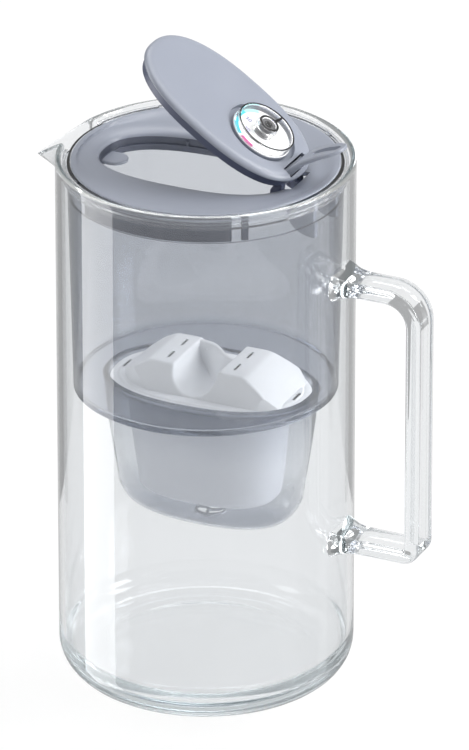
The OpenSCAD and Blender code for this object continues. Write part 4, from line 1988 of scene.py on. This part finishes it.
@dataclass
class FlipLid(SubAssembly):
    """The flip lid with its liner, thumb lever and the dial's seat."""

    body: Body = Body.LID
    outline: Oval = Oval(44.95, 29.7, 2.4, -3.65)
    inside: Oval = Oval(42.9, 26.0, 2.4, -3.65)
    top: float = 256.0
    low: float = 252.9
    roof: float = 254.3
    liner_low: float = 247.1
    edge_inset: float = 4.2
    edge_rise: float = 2.35
    edge_drop: float = 2.5
    moat: float = 17.3
    moat_low: float = 254.0
    boss: float = 18.9
    stem_bore: float = 2.01
    pocket: Block = ((34.2, -9.8, 251.4), (39.4, 9.8, 257.4))
    hook: Rows = (
        (0.0, 1.9), (-8.2, -0.3), (-10.1, 3.9), (-13.2, 3.9), (-13.2, -1.8),
        (-11.6, -4.4), (-9.4, -4.6), (0.0, -2.6),
    )
    arms: Rows = ((-9.9, -5.6), (5.6, 9.9))
    barrel: float = 3.6
    pin_bore: float = 1.56
    lever_gap: Block = ((31, -9.8, 252.3), (43, 9.8, 256.3))
    rib_room: Block = ((-22.2, 24.2, 246), (-19.4, 27.5, 250))
    seat: Rows = (
        (2.01, 254.0, 0), (14.9, 254.0, 0), (14.9, 255.6, 0.4), (2.01, 255.6, 0),
        (2.01, 254.0, 0),
    )
    card: Rows = (
        (2.01, 255.6), (14.7, 255.6), (14.7, 256.0), (14.6, CARD_TOP), (2.01, CARD_TOP),
        (2.01, 255.6),
    )
    lever_line: tuple[tuple[float, float, float], ...] = (
        (37.0, 252.9, 3.0), (37.4, 256.5, 2.9), (38.9, 262.3, 2.7), (40.9, 266.4, 2.5),
        (43.7, 271.4, 2.2), (47.0, 276.0, 1.9), (49.2, 279.6, 1.6),
    )
    numbers: tuple[tuple[str, float, float], ...] = (
        ("30", 178, 8.6),
        ("20", -132, 8.6),
        ("10", 89, 9.4),
    )
    lever_root: float = 9.5
    lever_tip: float = 7.5
    lever_lean: float = 64.5
    lever_start: tuple[float, float, float] = (37, 0, 252.9)
    lever_foot: Block = ((34.8, -9.5, 252.3), (38.6, 9.5, 254.2))
    slot_ends: tuple[float, float] = (15.0, 24.6)
    slot_half: float = 2.5

    def build(self) -> None:
        """Builds the lid's pieces, shut, and swings them open."""
        self.swing(self.shape_shell(), Slot.SLATE, "lid_shell")
        # The liner takes its dark slate with painted shade.
        self.swing(self.shape_liner(), Slot.SLATE_DARK, "lid_liner", Extra.LINER)
        self.swing(self.draw_lever(), Slot.SLATE, "thumb_lever")
        seat = turn_profile("dial_seat", round_corners(self.seat))
        seat.data.transform(Matrix.Translation((DIAL_X, 0, 0)))
        self.swing(seat, Slot.SLATE, "dial_seat")
        card = turn_profile("dial_card", self.card)
        card.data.transform(Matrix.Translation((DIAL_X, 0, 0)))
        self.swing(card, Slot.CARD, "dial_card")
        self.print_numbers()

    def swing(
        self, piece: Piece, slot: Slot, node: str, extra: Extra | None = None
    ) -> None:
        """Swings a piece to the lid's rest place and fits it."""
        piece.data.transform(SWING)
        self.fit(finish_piece(piece), slot, [node], extra)

    def shape_shell(self) -> Piece:
        """Shapes the top shell with the moat round the dial.

        Returns:
            The shell, lid shut.
        """
        rings = [
            self.outline.ring(-2.2, self.roof),
            self.outline.ring(-2.2, self.low),
            self.outline.ring(-0.7, self.low),
            self.outline.ring(-0.2, self.low + 0.15),
            self.outline.ring(0, self.low + 0.5),
        ]
        for step in range(9):
            turn = math.radians(90 * step / 8)
            inset = self.edge_inset * (1 - math.cos(turn))
            rise = self.edge_rise * math.sin(turn)
            rings.append(self.outline.ring(-inset, self.top - self.edge_drop + rise))
        rings += [
            self.outline.ring(-6.5, self.top - 0.06),
            self.outline.ring(-11, self.top),
        ]
        shell = draw_skin("lid_shell", rings, Ends.CAPPED)
        middle = Vector((DIAL_X, 0, 0))
        for radius, low, high, cut in (
            (self.boss, self.low, self.roof + 0.4, Cut.ADD),
            (self.moat, self.moat_low, self.top + 4, Cut.REMOVE),
            (self.stem_bore, self.low - 2, self.top + 4, Cut.REMOVE),
        ):
            start, end = middle + Vector((0, 0, low)), middle + Vector((0, 0, high))
            combine(shell, cast_rod("round", start, end, radius, 96), cut)
        combine(shell, cast_block("pocket", *self.pocket), Cut.REMOVE)
        return soften_edges(shell, 0.3, 2, 50)

    def shape_liner(self) -> Piece:
        """Shapes the liner with its hooked arms and hinge barrel.

        Returns:
            The liner, lid shut.
        """
        liner = draw_skin(
            "lid_liner",
            [
                self.inside.ring(-0.7, self.liner_low),
                self.inside.ring(-0.2, self.liner_low + 0.2),
                self.inside.ring(0, self.liner_low + 0.7),
                self.inside.ring(0, self.roof - 0.02),
                self.inside.ring(-1.6, self.roof - 0.02),
                self.inside.ring(-1.6, self.liner_low + 1.6),
            ],
            Ends.CAPPED,
        )
        for ends in self.arms:
            rings = [[HINGE + Vector((x, y, z)) for x, z in self.hook] for y in ends]
            combine(liner, draw_skin("arm", rings, Ends.CAPPED), Cut.ADD)
        reach = Vector((0, self.arms[-1][-1], 0))
        barrel = cast_rod("barrel", HINGE - reach, HINGE + reach, self.barrel)
        combine(liner, barrel, Cut.ADD)
        bore = cast_rod("bore", HINGE - reach * 2, HINGE + reach * 2, self.pin_bore)
        combine(liner, bore, Cut.REMOVE)
        for name, block in (("slot", self.lever_gap), ("rib_room", self.rib_room)):
            combine(liner, cast_block(name, *block), Cut.REMOVE)
        return soften_edges(liner, 0.35, 2, 45)

    def lever_centre(self) -> tuple[list[Vector], list[float]]:
        """Gives the lever's centre line and its thickness at each point.

        Returns:
            The points of the line, and the thicknesses.
        """
        rows = [Vector(row) for row in self.lever_line]
        line = curve_through(rows, 4)
        return [Vector((row.x, 0, row.y)) for row in line], [row.z for row in line]

    def draw_lever(self) -> Piece:
        """Draws the lever as a bent ribbon with a slot and a round tip.

        Returns:
            The lever, lid shut.
        """
        line, thick = self.lever_centre()
        gone = [0.0]
        for here, there in zip(line, line[1:]):
            gone.append(gone[-1] + (there - here).length)
        bend = gone[-1] - self.lever_tip
        stations = [bend * step / 18 for step in range(19)]
        stations += [
            bend + self.lever_tip * math.sin(math.radians(angle))
            for angle in (15, 30, 45, 58, 69, 78, 85, 89)
        ]
        rings = []
        for along in stations:
            index = max(i for i, reach in enumerate(gone[:-1]) if reach <= along)
            share = (along - gone[index]) / (gone[index + 1] - gone[index])
            point = line[index].lerp(line[index + 1], share)
            way = (line[index + 1] - line[index]).normalized()
            deep = thick[index] * (1 - share) + thick[index + 1] * share
            wide = self.lever_root + (self.lever_tip - self.lever_root) * min(
                1.0, along / bend
            )
            if along > bend:
                inward = (along - bend) / self.lever_tip
                wide = max(0.8, self.lever_tip * math.sqrt(1 - inward * inward))
            rings.append(
                rounded_box_ring(
                    point,
                    Vector((0, 1, 0)),
                    Vector((-way.z, 0, way.x)),
                    wide,
                    deep / 2,
                    min(deep / 2 - 0.05, wide * 0.9),
                    5,
                )
            )
        lever = draw_skin("thumb_lever", rings, Ends.CAPPED)
        near, far = self.slot_ends
        outline = arc_points((far, 0), self.slot_half, -90, 90, 12)
        outline += arc_points((near, 0), self.slot_half, 90, 270, 12)
        rings = [[Vector((x, y, z)) for x, y in outline] for z in (-14.0, 14.0)]
        slot = draw_skin("slot", rings, Ends.CAPPED)
        lean = Matrix.Rotation(-math.radians(self.lever_lean), 4, "Y")
        slot.data.transform(Matrix.Translation(self.lever_start) @ lean)
        combine(lever, slot, Cut.REMOVE)
        combine(lever, cast_block("root", *self.lever_foot), Cut.ADD)
        return soften_edges(lever, 0.35, 3, 50)

    def print_numbers(self) -> None:
        """Sets the small plain numbers on the card."""
        for text, angle, reach in self.numbers:
            clear_selection()
            bpy.ops.object.text_add()
            mark = bpy.context.active_object
            mark.data.body = text
            mark.data.size = 3.4
            mark.data.extrude = 0.02
            mark.data.align_x = "CENTER"
            mark.data.align_y = "CENTER"
            bpy.ops.object.convert(target="MESH")
            mark = bpy.context.active_object
            mark.name = f"number_{text}"
            turn = math.radians(angle)
            mark.data.transform(
                ON_DIAL
                @ Matrix.Translation(
                    (reach * math.cos(turn), reach * math.sin(turn), CARD_TOP + 0.02)
                )
            )
            self.fit(finish_piece(mark), Slot.INK, extra=Extra.NUMBERS)


# ---- dial ----


@dataclass
class ReminderDial(SubAssembly):
    """The clear knob with its printed rings and pointer."""

    body: Body = Body.DIAL
    radius: float = 14.4
    grip: float = 5.0
    face: float = 260.2
    grip_top: float = 262.4
    wall: float = 0.9
    stem: tuple[float, float] = (1.95, 250.4)
    hollow: tuple[float, float] = (3.8, 261.4)
    core: tuple[float, float, float] = (2.1, 3.65, 261.2)
    pointer: float = 83.0

    def build(self) -> None:
        """Builds the knob, its rings and the pointer."""
        low, wall = CARD_TOP + 0.3, self.wall
        stem, stem_low = self.stem
        hollow, roof = self.hollow
        knob = turn_profile(
            "dial_knob",
            round_corners(
                [
                    (0, stem_low, 0), (stem, stem_low, 0.3), (stem, roof, 0),
                    (hollow, roof, 0.4), (hollow, low, 0), (self.grip, low, 0),
                    (self.grip, self.face - wall, 0.2),
                    (self.radius - wall, self.face - wall, 0.3),
                    (self.radius - wall, low, 0), (self.radius, low, 0),
                    (self.radius, self.face, 0.35),
                    (self.grip + 0.4, self.face, 0.4),
                    (self.grip, self.grip_top, 0.4),
                    (0, self.grip_top, 0),
                ],
                4,
            ),
        )
        self.place(knob, Slot.CLEAR, "dial_knob")
        rim = self.flat_ring("knob_rim_ring", self.radius - 0.75, 0.7, self.face)
        self.place(rim, Slot.INK, "knob_rim_ring")
        mark = self.flat_ring("knob_grip_ring", self.grip - 1.2, 1.1, self.grip_top)
        self.place(mark, Slot.INK, "knob_grip_ring")
        self.place(self.draw_pointer(), Slot.INK, "knob_pointer")
        inner, outer, top = self.core
        profile = [(inner, low), (outer, low), (outer, top), (inner, top), (inner, low)]
        core = turn_profile("grip_core", profile)
        core.data.transform(ON_DIAL)
        self.fit(finish_piece(core), Slot.STEEL, extra=Extra.CORE)
        self.dress_node("knob_retainer", Slot.STEEL)

    def place(self, piece: Piece, slot: Slot, *nodes: str) -> None:
        """Puts a piece on the dial and fits it."""
        piece.data.transform(ON_DIAL)
        self.fit(finish_piece(piece), slot, nodes)

    @staticmethod
    def flat_ring(name: str, inner: float, width: float, z: float) -> Piece:
        """Turns a thin raised ring.

        Args:
            name: Name of the piece.
            inner: Inner radius.
            width: Width of the ring.
            z: Height that it stands on.

        Returns:
            The new piece.
        """
        profile = round_corners(
            [
                (inner, z, 0),
                (inner, z + 0.25, 0.1),
                (inner + width, z + 0.25, 0.1),
                (inner + width, z, 0),
                (inner, z, 0),
            ],
            2,
        )
        return turn_profile(name, profile)

    def draw_pointer(self) -> Piece:
        """Draws the pointer, tapered towards the rim.

        Returns:
            The new piece.
        """
        turn = math.radians(self.pointer)
        out = Vector((math.cos(turn), math.sin(turn), 0))
        rings = [
            rounded_box_ring(
                out * reach + Vector((0, 0, self.face + 0.12)),
                Vector((-out.y, out.x, 0)),
                Vector((0, 0, 1)),
                half,
                0.12,
                0.05,
                2,
            )
            for reach, half in ((self.grip + 0.5, 0.95), (8.5, 0.8), (13.9, 0.45))
        ]
        return draw_skin("knob_pointer", rings, Ends.CAPPED)


# ---- studio ----


@dataclass(frozen=True)
class Lamp:
    """A plain area lamp."""

    name: str
    place: tuple[float, float, float]
    aim: tuple[float, float, float]
    width: float
    height: float
    power: float


@dataclass(frozen=True)
class Flag:
    """A plain card that only glass and gloss can see.

    Its bearing is counted to the right from the camera's side. It faces the
    object, or is turned from there.
    """

    name: str
    bearing: float
    distance: float
    width: float
    height: float
    level: float
    turned: float = 0.0
    through: bool = False


@dataclass
class Studio:
    """Camera, floor, lamps, cards and world."""

    azimuth: float = 25.0
    elevation: float = 25.5576
    camera_place: tuple[float, float, float] = (1.5338, -3.2585, 1.8689)
    lens: float = 420.4
    ambient: float = 0.5
    tent_level: float = 0.5
    tent_radius: float = 2.4
    floor_color: float = 0.97
    floor_glow: float = 0.8
    floor_size: float = 16.0
    floor_drop: float = 0.0004
    bounces: int = 28
    clear_bounces: int = 16
    lamps: tuple[Lamp, ...] = (
        Lamp("sky_lamp", (0.35, 0.5, 2.6), (0, 0, 0.15), 1.4, 1.4, 20.0),
        Lamp("right_high", (1.25, 1.0, 1.5), (0, 0, 0.15), 0.9, 0.7, 16.0),
        Lamp("right_low", (1.85, 0.45, 0.8), (0, 0, 0.15), 0.6, 0.6, 24.0),
        Lamp("left_high", (-1.36, -0.37, 1.56), (0, 0, 0.15), 0.8, 0.7, 7.0),
        Lamp("back_lamp", (-0.58, 1.23, 1.9), (0, 0, 0.2), 1.0, 0.5, 7.0),
    )
    flags: tuple[Flag, ...] = (
        Flag("left_strip", -95.0, 1.6, 1.2, 3.0, 4.3),
        Flag("right_strip", 126.5, 1.6, 0.6, 3.0, 3.6),
        Flag("narrow_strip", 102.0, 1.6, 0.3, 3.0, 0.8),
        Flag("left_flag", -114.4, 0.388, 0.5, 1.0, 0.4, 114.4, True),
        Flag("right_flag", 114.4, 0.388, 0.5, 1.0, 0.48, -114.4, True),
        Flag("front_card", 42.0, 1.9, 2.3, 5.0, 0.65),
    )

    def place_camera(self) -> None:
        """Puts the camera at the photograph's viewing angle."""
        data = bpy.data.cameras.new("camera")
        data.lens = self.lens
        data.sensor_width = 36.0
        data.clip_end = 50.0
        camera = bpy.data.objects.new("camera", data)
        camera.location = self.camera_place
        camera.rotation_euler = (
            math.radians(90 - self.elevation),
            0.0,
            math.radians(self.azimuth),
        )
        bpy.context.scene.collection.objects.link(camera)
        bpy.context.scene.camera = camera

    @staticmethod
    def seen_plainly(board: NodeBoard) -> Socket:
        """Gives 1 for the camera and for what metal and glass show.

        Args:
            board: Board of the material or world.

        Returns:
            1 for those rays and 0 for the others.
        """
        path = board.add("ShaderNodeLightPath").outputs
        through = board.maths(
            "MAXIMUM", path["Is Glossy Ray"], path["Is Transmission Ray"]
        )
        return board.maths("MAXIMUM", path["Is Camera Ray"], through)

    def lay_floor(self) -> None:
        """Lays the pale floor, which keeps the object's shadow."""
        clear_selection()
        bpy.ops.mesh.primitive_grid_add(
            x_subdivisions=4, y_subdivisions=4, size=self.floor_size
        )
        floor = bpy.context.active_object
        floor.name = "floor"
        floor.data.transform(Matrix.Translation((0, 0, -self.floor_drop)))
        material, board, place = new_material("pale_floor")
        rough = board.spread(board.noise(place, Scale=60.0), To_Min=0.6, To_Max=0.75)
        plain_floor, seen_floor = (
            board.principled(
                Base_Color=shade((level, level, level)),
                Roughness=rough,
                Specular_IOR_Level=0.0,
            )
            for level in (self.floor_color, self.floor_color - self.floor_glow)
        )
        glow = board.add(
            "ShaderNodeEmission", Color=(1, 1, 1, 1), Strength=self.floor_glow
        )
        bright = board.add(
            "ShaderNodeAddShader", in_0=seen_floor.outputs[0], in_1=glow.outputs[0]
        )
        both = board.add(
            "ShaderNodeMixShader",
            in_0=self.seen_plainly(board),
            in_1=plain_floor.outputs[0],
            in_2=bright.outputs[0],
        )
        board.show(both.outputs[0])
        floor.data.materials.append(material)
        floor.visible_glossy = False

    def hang_lamps(self) -> None:
        """Hangs the lamps."""
        for lamp in self.lamps:
            data = bpy.data.lights.new(lamp.name, "AREA")
            data.shape = "RECTANGLE"
            data.size, data.size_y = lamp.width, lamp.height
            data.energy = lamp.power
            light = bpy.data.objects.new(lamp.name, data)
            light.location = lamp.place
            away = Vector(lamp.place) - Vector(lamp.aim)
            light.rotation_euler = away.to_track_quat("Z", "Y").to_euler()
            bpy.context.scene.collection.objects.link(light)

    def hang_card(self, card: Piece, level: float, through: bool) -> None:
        """Turns a drawn sheet into a grey card of the studio.

        Args:
            card: The sheet.
            level: How bright the card is, where 1 is white.
            through: Whether it is seen through glass as well as mirrored.
        """
        material, board, place = new_material(card.name)
        mottle = board.noise(place, Scale=2.0)
        strength = board.spread(mottle, To_Min=level * 0.95, To_Max=level * 1.05)
        glow = board.add("ShaderNodeEmission", Strength=strength)
        board.show(glow.outputs[0])
        card.data.materials.append(material)
        card.visible_camera = False
        card.visible_diffuse = False
        card.visible_shadow = False
        card.visible_transmission = through

    def hang_cards(self) -> None:
        """Hangs the grey tent and the flags beside the object."""
        clear_selection()
        bpy.ops.mesh.primitive_cylinder_add(
            vertices=64, radius=self.tent_radius, depth=6.0, end_fill_type="NOTHING"
        )
        tent = start_drawing("grey_tent")
        bpy.ops.object.mode_set(mode="OBJECT")
        self.hang_card(tent, self.tent_level, False)
        for flag in self.flags:
            turn = Matrix.Rotation(math.radians(self.azimuth + flag.bearing), 4, "Z")
            clear_selection()
            bpy.ops.mesh.primitive_plane_add(size=1.0)
            card = start_drawing(flag.name)
            bpy.ops.transform.resize(value=(flag.width, flag.height, 1))
            bpy.ops.object.mode_set(mode="OBJECT")
            card.data.transform(
                turn
                @ Matrix.Translation((0, -flag.distance, 0))
                @ Matrix.Rotation(math.radians(flag.turned), 4, "Z")
                @ Matrix.Rotation(math.radians(90), 4, "X")
            )
            self.hang_card(card, flag.level, flag.through)

    def light_world(self) -> None:
        """Sets the even surround, which the camera and glass see as white."""
        world = bpy.data.worlds.new("studio")
        world.use_nodes = True
        world.node_tree.nodes.clear()
        board = NodeBoard(world.node_tree)
        dim = board.add("ShaderNodeBackground", Strength=self.ambient)
        white = board.add("ShaderNodeBackground", Strength=1.0)
        for node in (dim, white):
            node.inputs["Color"].default_value = (1, 1, 1, 1)
        mixed = board.add(
            "ShaderNodeMixShader",
            in_0=self.seen_plainly(board),
            in_1=dim.outputs[0],
            in_2=white.outputs[0],
        )
        board.add("ShaderNodeOutputWorld", Surface=mixed.outputs[0])
        bpy.context.scene.world = world

    def set_up(self) -> None:
        """Sets up the studio and the way light is followed through glass."""
        self.place_camera()
        self.lay_floor()
        self.hang_lamps()
        self.hang_cards()
        self.light_world()
        scene = bpy.context.scene
        scene.view_settings.view_transform = "Standard"
        scene.cycles.max_bounces = self.bounces
        scene.cycles.glossy_bounces = self.bounces
        scene.cycles.transmission_bounces = self.bounces
        scene.cycles.transparent_max_bounces = self.clear_bounces


def main() -> None:
    """Builds the studio and every sub-assembly in order."""
    logging.basicConfig(level=logging.INFO, format="%(message)s")
    Studio().set_up()
    for assembly in (
        GlassJug(),
        FilterHopper(),
        OvalCartridge(),
        LidRing(),
        FlipLid(),
        ReminderDial(),
    ):
        assembly.build()
        LOG.info("%s: %d pieces", type(assembly).__name__, len(assembly.pieces))


if __name__ == "__main__":
    main()
